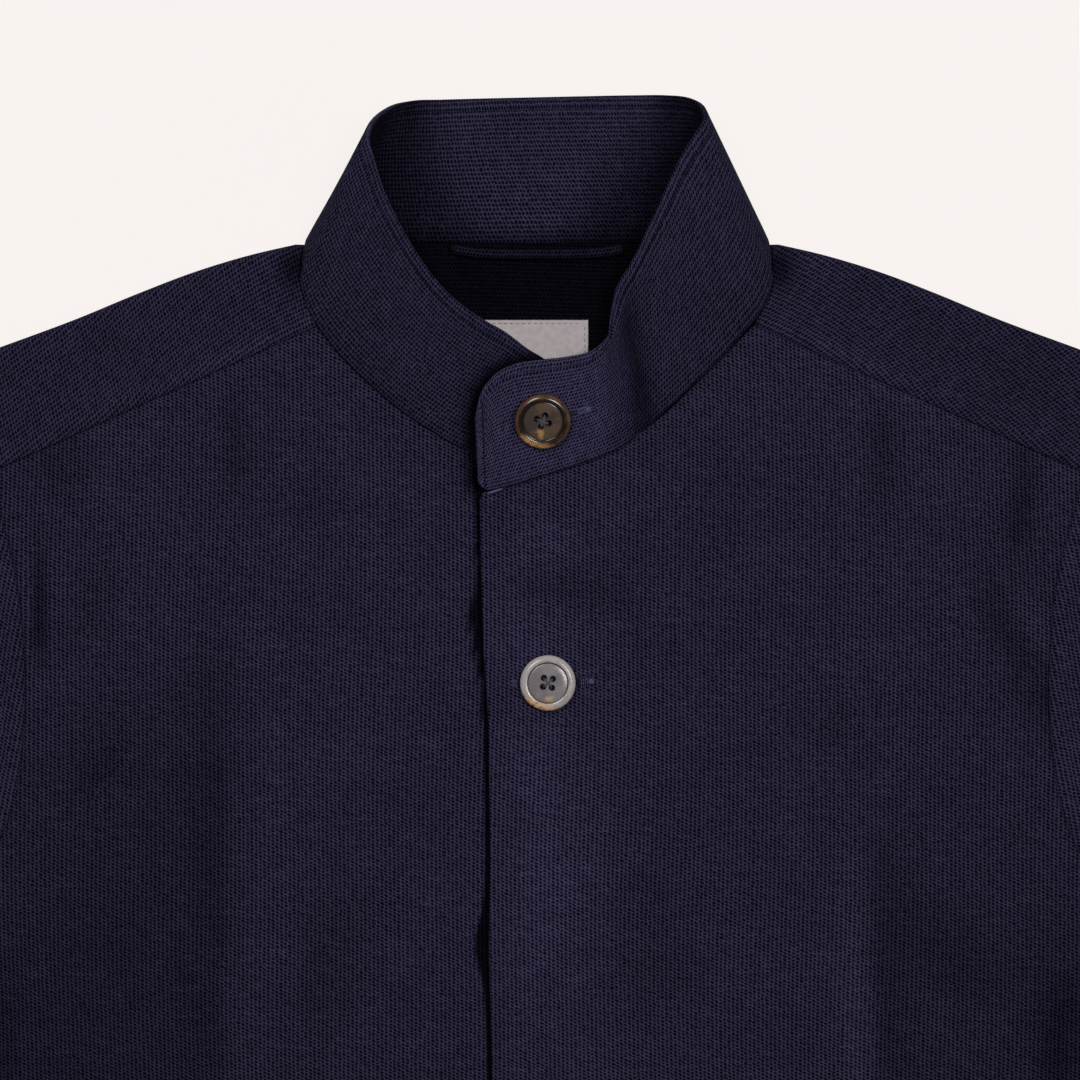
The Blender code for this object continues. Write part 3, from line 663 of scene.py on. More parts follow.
def armhole(points):
    line = np.array([fold_start(OUTER[0]), *points, fold_start(SIDE[0])], float)
    steps = np.empty_like(line)
    steps[1:-1] = line[2:] - line[:-2]
    steps[0] = line[1] - line[0]
    steps[-1] = line[-1] - line[-2]
    way = unit(turned(steps))
    way[0] = unit(way[0] + shoulder_way())
    way[-1] = unit(way[-1] + underarm_way())
    return line, way


FRONT_ARM, FRONT_WAY = armhole(ARM_FRONT)
BACK_ARM, BACK_WAY = armhole(ARM_BACK)


def arm_at(arm, way, k, side):
    """Points of a seam edge along the armhole: side is 1 past the gap and -1 before it."""
    return curve(arm, k) + unit(curve(way, k)) * (side * SEAM_GAP / 2)


# --- Cloth -----------------------------------------------------------------------------------------


def run_distances(points, valid, axis):
    """Distance along one way of the grid to the end of each unbroken run of valid points."""
    pts = np.moveaxis(points, axis, 0)
    ok = np.moveaxis(valid, axis, 0)
    steps = np.linalg.norm(np.diff(pts, axis=0), axis=-1)
    ahead = np.zeros(ok.shape)
    behind = np.zeros(ok.shape)
    for k in range(1, len(pts)):
        behind[k] = np.where(ok[k - 1] & ok[k], behind[k - 1] + steps[k - 1], 0)
    for k in range(len(pts) - 2, -1, -1):
        ahead[k] = np.where(ok[k + 1] & ok[k], ahead[k + 1] + steps[k], 0)
    return np.moveaxis(np.minimum(ahead, behind), 0, axis)


def grid_faces(valid_faces, wrap):
    """The grid's faces, as four point numbers each."""
    columns = valid_faces.shape[1]
    width = columns if wrap else columns + 1
    j, i = np.nonzero(valid_faces)
    right = (i + 1) % width if wrap else i + 1
    return np.stack((j * width + i, j * width + right, (j + 1) * width + right,
                     (j + 1) * width + i), axis=1)


def raised(plan, z):
    """Points at height z over places in plan."""
    return np.concatenate((plan, np.broadcast_to(z, plan.shape[:-1])[..., None]), axis=-1)


def vertex_normals(points, faces):
    flat = points.reshape(-1, 3)
    a, b, c, d = (flat[faces[:, k]] for k in range(4))
    normal = np.cross(c - a, d - b)
    total = np.zeros_like(flat)
    for k in range(4):
        np.add.at(total, faces[:, k], normal)
    return unit(total)


def shell(name, points, uv, valid_faces, wall, material, wrap=False, shade=None, under=None):
    """A sheet of cloth with a wall and rounded edges, from a grid of points on its middle."""
    faces = grid_faces(valid_faces, wrap)
    flat = points.reshape(-1, 3)
    used = np.zeros(len(flat), bool)
    used[faces.ravel()] = True
    valid = used.reshape(points.shape[:2])
    reach = run_distances(points, valid, 0)
    if not wrap:
        reach = np.minimum(reach, run_distances(points, valid, 1))
    reach = reach.ravel()
    normal = vertex_normals(points, faces)
    if normal[used][:, 2].mean() < 0:
        faces = faces[:, ::-1]
        normal = -normal
    half = wall / 2
    height = half * np.sqrt(1 - (1 - np.clip(reach / half, 0, 1)) ** 2)
    upper = flat + normal * height[:, None]
    lower = flat - normal * height[:, None]
    index = np.full(len(flat), -1)
    index[used] = np.arange(used.sum())
    inner = used & (reach >= 1e-6)
    below = index.copy()
    below[inner] = used.sum() + np.arange(inner.sum())
    verts = np.concatenate((upper[used], lower[inner]))
    quads = np.concatenate((index[faces], below[faces[:, ::-1]]))
    coords = uv.reshape(-1, 2)
    coords = np.concatenate((coords[used], coords[inner]))
    tone = np.ones(len(flat)) if shade is None else shade.ravel()
    tone_under = tone if under is None else under.ravel()
    tone = np.concatenate((tone[used], tone_under[inner]))
    ob = mesh_object(name, verts, quads, material, coords, tone)
    cut = coords.max(0) - coords.min(0)
    area = np.linalg.norm(np.cross(flat[faces[:, 2]] - flat[faces[:, 0]],
                                   flat[faces[:, 3]] - flat[faces[:, 1]]), axis=1).sum() / 2
    return ob, tuple(float(side) * MM for side in cut), float(area) * MM * MM


def mesh_object(name, verts, faces, material, uv, tone):
    """A smooth mesh, with its knit coordinates and its shade stored on its points."""
    verts = np.array(verts, float) * MM
    verts[:, 1] -= ORIGIN_Y * MM
    mesh = bpy.data.meshes.new(name)
    mesh.from_pydata(verts.tolist(), [], [list(map(int, f)) for f in faces])
    mesh.validate()
    mesh.update()
    layer = mesh.uv_layers.new(name="knit")
    loops = np.zeros(len(mesh.loops), int)
    mesh.loops.foreach_get("vertex_index", loops)
    layer.data.foreach_set("uv", (uv[loops] * MM).ravel())
    attribute = mesh.attributes.new("shade", "FLOAT", "POINT")
    attribute.data.foreach_set("value", tone.astype(np.float32))
    mesh.materials.append(material)
    mesh.shade_smooth()
    ob = bpy.data.objects.new(name, mesh)
    bpy.context.scene.collection.objects.link(ob)
    return ob


def columns_between(near, far, spacing, fine=()):
    """Distances across a strip of a mean width, with close steps at both ends and in fine."""
    width = np.linalg.norm(far - near, axis=-1).mean()
    steps = np.array(EDGE_STEPS)
    inner = np.linspace(EDGE_STEPS[-1], width - EDGE_STEPS[-1],
                        int((width - 2 * EDGE_STEPS[-1]) / spacing) + 1)
    t = np.concatenate((steps[:-1], inner, width - steps[-2::-1]))
    for start, end, step in fine:
        t = np.concatenate((t[(t < start) | (t > end)], np.arange(start, end, step)))
    return np.sort(t) / width


def side_fold(flat, line, outward, layer):
    """Points past the flat part, round its side fold, and their places in the cut.

    layer is 1 for the top layer and -1 for the back, and line runs down the fold's far side.
    """
    angles = layer * np.array(FOLD_STEPS)
    ring = fold_ring(line[:, None], outward[:, None], angles[None, :] + 0 * line[:, :1])
    arc = FOLD_RADIUS * np.radians(90 - np.array(FOLD_STEPS))
    cut = np.stack((flat[:, -1:, 0] + arc[None], flat[:, -1:, 1] + 0 * arc[None]), axis=-1)
    return ring, cut


def front(name, side, neck, edge_line, height, material):
    """A front, from the closing's edge round to the side seam, and from the yoke to the hem."""
    arm = FRONT_ARM[YOKE_SHARE:]
    last_arm = len(arm) - 1
    inner_low = [(edge_line(y) * side, y) for y in (*FRONT_ROWS, HEM_Y)]
    neck = np.array(neck, float)
    inner = [*neck, *inner_low]
    outer = [*arm, *[fold_start(e) for e in SIDE[1:]]]
    corner = len(neck) - 1
    rows = edge_refined(stations((inner, outer), FINE), (inner,))
    below = rows > corner
    near = curve(neck, np.minimum(rows, corner))
    low = curve([inner[corner], *inner_low], np.maximum(rows - corner, 0))
    near[below] = low[below]
    near[below, 0] = edge_line(near[below, 1]) * side
    far = arm_at(arm, FRONT_WAY[YOKE_SHARE:], np.minimum(rows, last_arm), -1)
    beyond = rows > last_arm
    line, outward = edge_at(SIDE, np.maximum(rows - last_arm, 0))
    far[beyond] = (line - outward * FOLD_RADIUS)[beyond]
    seam = unit(arm[0] - neck[0])
    clear = -turned(seam) * (SEAM_GAP / 2) * np.exp(-rows * 6)[:, None]
    near = near + clear
    far = far + clear
    fine = (CLOSING_COLUMNS,) if side < 0 else ()
    across = columns_between(near[below], far[below], FINE, fine)
    plan = near[:, None] + (far - near)[:, None] * across[None, :, None]
    ring, cut = side_fold(plan, line, outward, 1)
    mirror = np.array((side, 1.0))
    plan = plan * mirror
    top = raised(plan, height(plan))
    points = np.concatenate((top, ring * (side, 1, 1)), axis=1)
    uv = np.concatenate((plan, cut * mirror), axis=1)
    uv = uv + pattern_drift(uv)
    faces = np.ones((len(rows) - 1, points.shape[1] - 1), bool)
    arm_rows = rows[:-1] < last_arm - 1e-6
    faces[np.ix_(arm_rows, np.arange(faces.shape[1]) >= len(across) - 1)] = False
    points[..., 2] += seam_roll(points, side)
    return shell(name, points, uv, faces, CLOTH, material, shade=front_shade(points, side))


def pattern_drift(p):
    """How far a laid knit strays from its straight columns."""
    x, y = p[..., 0], p[..., 1]
    across = 0.9 * np.sin(y / 58 + x / 140) + 0.35 * np.sin(y / 21 + x / 33)
    along = 0.8 * np.sin(x / 66 + 0.7) + 0.3 * np.sin(x / 24 + y / 49)
    return np.stack((across, along), axis=-1)


YOKE_SEAM = np.array((NECK_LEFT[0], FRONT_ARM[YOKE_SHARE]), float)
ARM_SEAM = curve(FRONT_ARM, np.linspace(YOKE_SHARE, len(FRONT_ARM) - 1, 40))
NECKS = {1: np.array(NECK_LEFT, float), -1: np.array(NECK_RIGHT, float)}


def seam_roll(points, side):
    """How far a front's edges dip into their seams."""
    q = points[..., :2] * (side, 1.0)
    dip = bell(line_distance(q, YOKE_SEAM)[0], YOKE_DIP) + bell(line_distance(q, ARM_SEAM)[0], ARM_DIP)
    dip += bell(line_distance(q, NECKS[side])[0], NECK_DIP)
    return dip * (points[..., 2] > FOLD_Z - 1.5)


def front_shade(points, side):
    """Painted shade and light on a front's knit, against 1 where the cloth lies open."""
    plan = points[..., :2]
    x, y = plan[..., 0], plan[..., 1]
    q = plan * (side, 1.0)
    tone = 1 - bell(line_distance(q, YOKE_SEAM)[0], YOKE_SEAM_SHADE)
    under_collar = bell(line_distance(q, NECKS[side])[0], UNDER_COLLAR_SHADE)
    if side > 0:
        under_collar *= 0.3 + 0.7 * smooth((x - 25) / 25)
    tone *= 1 - under_collar
    tone *= 1 - bell(line_distance(q, ARM_SEAM)[0], ARM_SEAM_SHADE)
    marks = creased(plan, CREASES)
    # Painted shade down in the creases and painted light on their ridges
    tone *= 1 + CREASE_SHADE * np.minimum(marks, 0) + RIDGE_SHADE * np.maximum(marks, 0)
    # Painted shade in the hollows, and painted light where the cloth faces the light
    for cx, cy, rx, ry, depth in DRAPE_SHADE_AND_LIGHT:
        tone *= 1 - depth * np.exp(-(((x - cx) / rx) ** 2) - ((y - cy) / ry) ** 2)
    # Painted shade past the facings' edges, where the cloth faces away from the light
    for line_x, start, reach, depth in FACING_SHADE_EDGES:
        beyond = smooth(np.sign(line_x) * (x - line_x) / FACING_STEP)
        shown = smooth((start - y) / reach) * np.exp(-np.abs(x - line_x) / FACING_FADE)
        tone *= 1 - depth * beyond * shown * smooth((y + 520) / 200)
    if side < 0:
        covered = x - edge_x(y) + 2.6 + 2.9 * edge_lift(y)
        tone *= 1 - UNDER_CLOSING * smooth(covered / 1.2) * (y < CLOSING_TOP + 4)
        tone *= 1 - bell(tab_distance(plan), UNDER_TAB_SHADE)
    return tone


def tab_distance(plan):
    """Distance from the outline of the tab's free end, a little outside it."""
    return line_distance(plan + (TAB_CONTACT, 0.0), np.array(TAB_END, float))[0]


def back(material):
    """The back below its yoke, from one side seam to the other."""
    arm = BACK_ARM[YOKE_SHARE:]
    last_arm = len(arm) - 1
    seam_y = BACK_SEAM_Y - SEAM_GAP
    outer = [*arm, *[fold_start(e) for e in SIDE[1:]]]
    count = len(outer) - 1
    inner = [(0, lerp(seam_y, HEM_Y, k / count)) for k in range(count + 1)]
    rows = edge_refined(stations((inner, outer), COARSE), (inner,))
    near = np.stack((0 * rows, lerp(seam_y, HEM_Y, rows / count)), axis=-1)
    far = arm_at(arm, BACK_WAY[YOKE_SHARE:], np.minimum(rows, last_arm), -1)
    far[:, 1] = np.minimum(far[:, 1], seam_y)
    beyond = rows > last_arm
    line, outward = edge_at(SIDE, np.maximum(rows - last_arm, 0))
    far[beyond] = (line - outward * FOLD_RADIUS)[beyond]
    across = columns_between(near, far, COARSE)
    across = np.concatenate(((0.0,), across[across * 230 > COARSE / 2]))
    plan = near[:, None] + (far - near)[:, None] * across[None, :, None]
    flat = raised(plan, BACK_Z)
    ring, cut = side_fold(plan, line, outward, -1)
    half = np.concatenate((flat, ring), axis=1)
    uv_half = np.concatenate((plan, cut), axis=1)
    points = np.concatenate((half[:, :0:-1] * (-1, 1, 1), half), axis=1)
    uv = np.concatenate((uv_half[:, :0:-1] * (-1, 1), uv_half), axis=1)
    faces = np.ones((len(rows) - 1, points.shape[1] - 1), bool)
    arm_rows = rows[:-1] < last_arm - 1e-6
    away = np.abs(np.arange(faces.shape[1]) + 0.5 - (half.shape[1] - 1))
    faces[np.ix_(arm_rows, away > len(across) - 1)] = False
    return shell("back_panel", points, uv, faces, CLOTH, material)


NECK_COLUMNS = np.concatenate((np.arange(0, NECK_HALF - 6, 4.5),
                               NECK_HALF - np.array(EDGE_STEPS)[::-1]))


def yoke_back(start, t, rows):
    """The yoke behind the shoulder folds in plan, with the columns below the neck first."""
    low_x = lerp(SHOULDER[0][0], BACK_ARM[YOKE_SHARE][0], t)
    low = np.stack((low_x, BACK_SEAM_Y + 0 * t), axis=-1)
    plan = low[None] + (start - low)[None] * rows[:, None, None]
    arm = arm_at(BACK_ARM, BACK_WAY, YOKE_SHARE * (1 - rows), -1)
    plan += (arm - plan[:, -1])[:, None] * (t**3)[None, :, None]
    neck_y = lerp(BACK_SEAM_Y, BACK_NECK_Y + NECK_LAP, rows)
    neck = np.stack(np.meshgrid(NECK_COLUMNS, neck_y), axis=-1)
    return np.concatenate((neck, plan), axis=1)


def yoke_front(start, t):
    """The yoke before the shoulder folds in plan, down to the fronts' seam."""
    rows = np.concatenate((np.linspace(0, 0.84, 20), 1 - np.array(EDGE_STEPS[-2::-1]) / 34))
    neck = np.array((start[0], np.array(SHOULDER[0]) - (1.0, 14.0), NECK_LEFT[0]), float)
    seam = lerp(neck[-1], FRONT_ARM[YOKE_SHARE], t[:, None])
    seam = seam + turned(unit(FRONT_ARM[YOKE_SHARE] - neck[-1])) * (SEAM_GAP / 2)
    flap = start[None] + (seam - start)[None] * rows[:, None, None]
    arm = arm_at(FRONT_ARM, FRONT_WAY, YOKE_SHARE * rows, -1)
    flap += (arm - flap[:, -1])[:, None] * (t**3)[None, :, None]
    flap += (curve(neck, 2 * rows) - flap[:, 0])[:, None] * ((1 - t) ** 3)[None, :, None]
    return flap


def beside_neck(grid):
    """The rows with columns for the neck put before them, which stay open."""
    return np.concatenate((np.repeat(grid[:, :1], len(NECK_COLUMNS), axis=1), grid), axis=1)


def yoke(material):
    """From the back seam over the shoulders to the front seams, in one piece."""
    edge = [p for p, _ in SHOULDER_LINE]
    columns = edge_refined(stations((edge,), YOKE_SPACING), (edge,), first=False)
    line, outward = edge_at(SHOULDER_LINE, columns)
    start = line - outward * FOLD_RADIUS
    t = (line[:, 0] - line[0, 0]) / (line[-1, 0] - line[0, 0])
    steps = np.array(YOKE_STEPS) / 100
    back_rows = np.concatenate((steps, np.linspace(0.09, 0.93, 28), 1 - steps[::-1]))
    back_plan = yoke_back(start, t, back_rows)
    flap = yoke_front(start, t)
    gap = np.zeros_like(line)
    gap[-1] = -shoulder_way() * (SEAM_GAP / 2)
    angles = LAYER_FOLD[::-1]
    fold = fold_ring(line[None] + gap[None], outward[None], angles[:, None] + 0 * t[None])

    seam_away = line_distance(flap, YOKE_SEAM)[0]
    arm_away = line_distance(flap, np.array(FRONT_ARM[: YOKE_SHARE + 2]))[0]
    roll = band(seam_away, YOKE_BAND) + bell(seam_away, FLAP_DIP) + bell(arm_away, FLAP_ARM_DIP)
    sheets = []
    for side in (1, -1):
        front_part = raised(flap, top_height(flap * (side, 1.0)) + roll)
        sheets.append(np.concatenate((raised(back_plan, BACK_Z), beside_neck(fold),
                                      beside_neck(front_part)), axis=0))
    left, right = sheets
    points = np.concatenate((right[:, :0:-1] * (-1, 1, 1), left), axis=1)

    out = turned(unit(np.subtract(SHOULDER[-1], SHOULDER[0])))
    fold_uv = start[None] + out * (FOLD_RADIUS * np.radians(angles + 90))[:, None, None]
    reflected = flap + out * (2 * ((start[None] - flap) @ out))[..., None]
    reflected = reflected + out * (pi * FOLD_RADIUS)
    half_uv = np.concatenate((back_plan, beside_neck(fold_uv), beside_neck(reflected)), axis=0)
    uv = np.concatenate((half_uv[:, :0:-1] * (-1, 1), half_uv), axis=1)[..., ::-1]
    uv = uv + pattern_drift(uv)

    faces = np.ones((len(points) - 1, points.shape[1] - 1), bool)
    away = np.abs(np.arange(faces.shape[1]) + 0.5 - (left.shape[1] - 1))
    upper_rows = np.arange(len(faces)) >= len(back_rows) - 1
    faces[np.ix_(upper_rows, away < len(NECK_COLUMNS))] = False
    return shell("yoke_panel", points, uv, faces, CLOTH, material, shade=yoke_shade(points))


def yoke_shade(points):
    """Painted shade on the yoke's knit, inside the neck, in its seam and by the collar, and painted light
    by the seam.
    """
    x, y, z = points[..., 0], points[..., 1], points[..., 2]
    seam_away, seam_place = line_distance(np.stack((np.abs(x), y), axis=-1), YOKE_SEAM)
    # Painted light in a band beside the seam
    streak = np.exp(-(((seam_place - 0.3) / 0.2) ** 2)) * np.exp(-(((seam_away - 3.5) / 2.2) ** 2))
    # Painted shadow in the corner between the collar and the shoulder
    collar_corner_shadow = np.exp(-(((np.abs(x) - 89) / 6) ** 2) - ((y + 8) / 9) ** 2)
    tone = 1 - bell(seam_away, YOKE_SEAM_SHADE) * (z > 3)
    tone *= YOKE_TONE * (1 + 0.22 * streak) * (1 - 0.75 * collar_corner_shadow)
    tone *= 1 - 0.1 * smooth((x - 100) / 50)
    inside_neck = (z < 2.5) & (np.abs(x) < 84)
    return np.where(inside_neck, NECK_SHADE, tone)


def sleeve_layer(arm, way, start, end, ring):
    """A layer of the sleeve in plan, from its outer fold to its inner one."""
    k = np.linspace(0, len(FRONT_ARM) - 1, 72)
    share = k / k[-1]
    fade = ((1 - smooth(ring / (len(INNER) - 3))) ** 1.5)[:, None, None]
    bow = arm_at(arm, way, k, 1) - lerp(arm[0], arm[-1], share[:, None])
    return start[:, None] + (end - start)[:, None] * share[None, :, None] + bow[None] * fade


def sleeve(name, side, material):
    """A sleeve, all round the arm, from the armhole to the cuff."""
    outer_line = [p for p, _ in OUTER]
    ring = edge_refined(stations((outer_line, [p for p, _ in INNER]), FINE), (outer_line,))
    outer, outer_way = edge_at(OUTER, ring)
    inner, inner_way = edge_at(INNER, ring)
    start = outer - outer_way * FOLD_RADIUS
    end = inner - inner_way * FOLD_RADIUS
    top_plan = sleeve_layer(FRONT_ARM, FRONT_WAY, start, end, ring)
    z = top_height(top_plan * (side, 1.0), SLEEVE_CREASES[side], sleeve=True)
    away = line_distance(top_plan, curve(FRONT_ARM, np.linspace(0, len(FRONT_ARM) - 1, 60)))[0]
    z += band(away, SLEEVE_BAND) + bell(away, SLEEVE_DIP)
    top = raised(top_plan, z)
    low_plan = sleeve_layer(BACK_ARM, BACK_WAY, start, end, ring)[:, ::-1]
    low = raised(low_plan, BACK_Z)
    angles = LAYER_FOLD[None] + 0 * ring[:, None]
    closing = np.exp(-ring * 8)[:, None, None] * (SEAM_GAP / 2)
    under = fold_ring(inner[:, None] + underarm_way() * closing, inner_way[:, None], angles)
    over = fold_ring(outer[:, None] + shoulder_way() * closing, outer_way[:, None], -angles)
    points = np.concatenate((top, under, low, over), axis=1)

    across = np.array((cos(SLEEVE_LEAN), sin(SLEEVE_LEAN)))
    turn = np.stack((across, turned(across)), axis=-1)
    top_uv = top_plan @ turn
    low_uv = low_plan @ turn
    start_u = top_uv[:, :1, 0]
    low_uv[..., 0] = 2 * start_u + pi * FOLD_RADIUS - low_uv[..., 0]
    arcs = FOLD_RADIUS * np.radians(90 - LAYER_FOLD)[None]
    under_uv = np.stack((top_uv[:, -1:, 0] - arcs, top_uv[:, -1:, 1] + 0 * arcs), axis=-1)
    over_uv = np.stack((start_u + arcs[:, ::-1], top_uv[:, :1, 1] + 0 * arcs), axis=-1)
    uv = np.concatenate((top_uv, under_uv, low_uv, over_uv), axis=1)
    uv = uv + pattern_drift(uv)
    points[..., 0] *= side
    uv[..., 0] *= side
    faces = np.ones((len(ring) - 1, points.shape[1]), bool)
    tone = np.ones(points.shape[:2])
    tone[:, : top.shape[1]] -= bell(away, ARM_SEAM_SHADE)
    return shell(name, points, uv, faces, CLOTH, material, wrap=True, shade=tone)


# --- Collar --------------------------------------------------------------------------------------


def collar_lines():
    """The base and top lines through the collar's sections, and its bulge there."""
    base, top, bulge = [], [], []
    for zone, bx, by, bz, tx, ty, tz, swell in COLLAR:
        plan = np.array((bx, by), float)
        if zone == "under":
            bz = float(under_height(plan)) + COLLAR_STEP
        elif zone == "over":
            bz = float(over_height(plan)) + COLLAR_STEP
        base.append((bx, by, bz))
        top.append((tx, ty, tz))
        bulge.append((swell, 0.0))
    return base, top, bulge


BASE_LINE, TOP_LINE, BULGE_LINE = collar_lines()


def collar_surface(section, share):
    """The middle of the collar, for arrays of sections and of shares from base to top."""
    base = curve(BASE_LINE, section)
    top = curve(TOP_LINE, section)
    swell = curve(BULGE_LINE, section)[..., 0]
    point = lerp(base, top, share[..., None])
    point[..., 2] += swell * 4 * share * (1 - share)
    for low, high, first, last, width, rise in COLLAR_CREASES:
        middle = lerp(low, high, share)
        fade = smooth((share - first) / 0.25) * smooth((last - share) / 0.25)
        bell = np.exp(-(((section - middle) / width) ** 2))
        point[..., 2] += rise * bell * fade
    return point


def run_along(path):
    """Distance along a path to each of its points."""
    return np.concatenate(((0,), np.cumsum(np.linalg.norm(np.diff(path, axis=0), axis=1))))


def collar(material):
    """The collar, from the neck seam up to its free edge and round to the tab's end."""
    section = edge_refined(stations((BASE_LINE, TOP_LINE), COLLAR_SPACING), (BASE_LINE,))
    steps = np.array(EDGE_STEPS) / COLLAR_HEIGHT
    share = np.concatenate((steps, np.linspace(0.12, 0.88, 30), 1 - steps[::-1]))
    s, h = np.meshgrid(section, share)
    points = collar_surface(s, h)
    along = run_along(curve(BASE_LINE, section) * 0.5 + curve(TOP_LINE, section) * 0.5)
    up = COLLAR_HEIGHT * h
    uv = np.stack((up, along[None] + 0 * h), axis=-1)
    uv = uv + pattern_drift(uv) * 0.5
    end = np.abs(along[-1] - along)[None] + 0 * h
    rim = np.minimum(COLLAR_HEIGHT * (1 - h), end)
    calm = 1 - 0.75 * smooth((s - 32.5) / 2)
    points[..., 2] -= bell(rim - WELT, WELT_GROOVE) + calm * bell(up, COLLAR_DIP)

    # Painted shade and light on the collar's outside: shade at its foot, in the welt's groove, under the
    # tab's end and in the tab's fold, and light on the welt, the tab and its free end
    tone = COLLAR_TONE * (1 - calm * bell(up, COLLAR_BASE_SHADE))
    tone *= 1 + 0.1 * smooth((WELT - rim) / 1.2) - bell(rim - WELT, WELT_SHADE)
    tone *= 1 - bell(tab_distance(points[..., :2]), UNDER_TAB_COLLAR_SHADE) * (s < 9)
    tone *= 1 + TAB_GLOW * smooth((s - 33.6) / 1.5)
    tone *= 1 + bell(end, TAB_END_GLOW)
    tab_fold = s - lerp(*COLLAR_CREASES[0][:2], h)
    tone *= 1 - bell(tab_fold, TAB_FOLD_SHADE) * smooth((0.95 - h) / 0.25)
    # Inside, the back of the neck is lit and the two sides face away
    left_lit = 18 - 1.5 * h**1.5
    right_lit = 19.3 + 2.3 * h**1.3
    lit = smooth((s - left_lit + 0.7) / 1.4) * smooth((right_lit + 0.8 - s) / 1.4)
    inside = (1 - 0.7 * (1 - lit)) * (1 - bell(up, COLLAR_FOOT_SHADE))
    faces = np.ones((len(share) - 1, len(section) - 1), bool)
    return shell("collar_band", points, uv, faces, COLLAR_WALL, material, shade=tone, under=inside)


# --- Trims ---------------------------------------------------------------------------------------


def tube(name, path, radius, material, sides=6, tone=1.0):
    """A round cord along points, closed with a blunt tip at both ends."""
    path = np.asarray(path, float)
    tangent = unit(np.gradient(path, axis=0))
    level = np.tile((0.0, 0.0, 1.0), (len(path), 1))
    level[np.abs(tangent[:, 2]) > 0.95] = (0.0, 1.0, 0.0)
    beside = unit(np.cross(level, tangent))
    upward = np.cross(tangent, beside)
    a = np.linspace(0, 2 * pi, sides, endpoint=False)
    ring = beside[:, None] * np.cos(a)[None, :, None] + upward[:, None] * np.sin(a)[None, :, None]
    rings = path[:, None] + ring * radius
    tips = (path[0] - tangent[0] * radius * 0.6, path[-1] + tangent[-1] * radius * 0.6)
    verts = np.concatenate((rings.reshape(-1, 3), tips))
    faces = [list(f) for f in grid_faces(np.ones((len(path) - 1, sides), bool), True)]
    last_ring = (len(path) - 1) * sides
    for k in range(sides):
        after = (k + 1) % sides
        faces.append([len(verts) - 2, after, k])
        faces.append([len(verts) - 1, last_ring + k, last_ring + after])
    uv = np.stack(np.broadcast_arrays(a[None] * radius, run_along(path)[:, None]), axis=-1)
    uv = np.concatenate((uv.reshape(-1, 2), ((0, 0), (0, 0))))
    return mesh_object(name, verts, faces, material, uv, np.full(len(verts), tone))


def joined(name, parts):
    """Several meshes made into one piece."""
    bpy.ops.object.select_all(action="DESELECT")
    for part in parts:
        part.select_set(True)
    bpy.context.view_layer.objects.active = parts[0]
    bpy.ops.object.join()
    parts[0].name = name
    parts[0].data.name = name
    return parts[0]


def hanger_loop(material):
    """The loop, sewn in at both ends, and its path."""
    t = np.linspace(-1, 1, 41)
    y = LOOP_END_Y - LOOP_SAG * (1 - t**4)
    z = CLOTH + LAYER_GAP + LOOP_RADIUS + 0.2 * np.cos(3 * t)
    path = np.stack((t * LOOP_HALF_WIDTH, y, z), axis=-1)
    return tube("hanger_loop_cord", path, LOOP_RADIUS, material, sides=16, tone=LOOP_SHADE), path


def label_lines(first, last, count):
    """Grid lines across the label, close together at both edges."""
    steps = np.array(EDGE_STEPS[:5])
    return np.concatenate((first + steps, np.linspace(first + 3, last - 3, count), last - steps[::-1]))


def label(material):
    """The label's cloth, a little wavy."""
    x1, x2, y1, y2 = LABEL
    x, y = np.meshgrid(label_lines(x1, x2, 18), label_lines(y1, y2, 12))
    z = CLOTH + LAYER_GAP + LABEL_WALL / 2 + 0.12 * np.sin(x / 6) * np.sin(y / 5)
    points = np.stack((x, y, z), axis=-1)
    faces = np.ones((x.shape[0] - 1, x.shape[1] - 1), bool)
    return shell("label_cloth", points, points[..., :2], faces, LABEL_WALL, material)


def label_stitches(material):
    """Short running stitches along the label's upper edge and both ends."""
    x1, x2, y1, y2 = LABEL
    top = CLOTH + LAYER_GAP + LABEL_WALL
    rows = (
        # start, way, length
        ((x1 + 1.8, y2 - STITCH_INSET), (1, 0), x2 - x1),
        ((x1 + STITCH_INSET, y1 + 1.4), (0, 1), y2 - y1),
        ((x2 - STITCH_INSET, y1 + 1.4), (0, 1), y2 - y1),
    )
    parts = []
    for (x, y), (dx, dy), length in rows:
        for k in range(int((length - 3) / STITCH_PITCH)):
            run = k * STITCH_PITCH
            path = [(x + dx * (run + d), y + dy * (run + d), top + lift)
                    for d, lift in ((0, -0.05), (0.6, 0.12), (1.2, -0.05))]
            parts.append(tube("stitch", path, STITCH_RADIUS, material))
    return joined("label_stitching", parts)


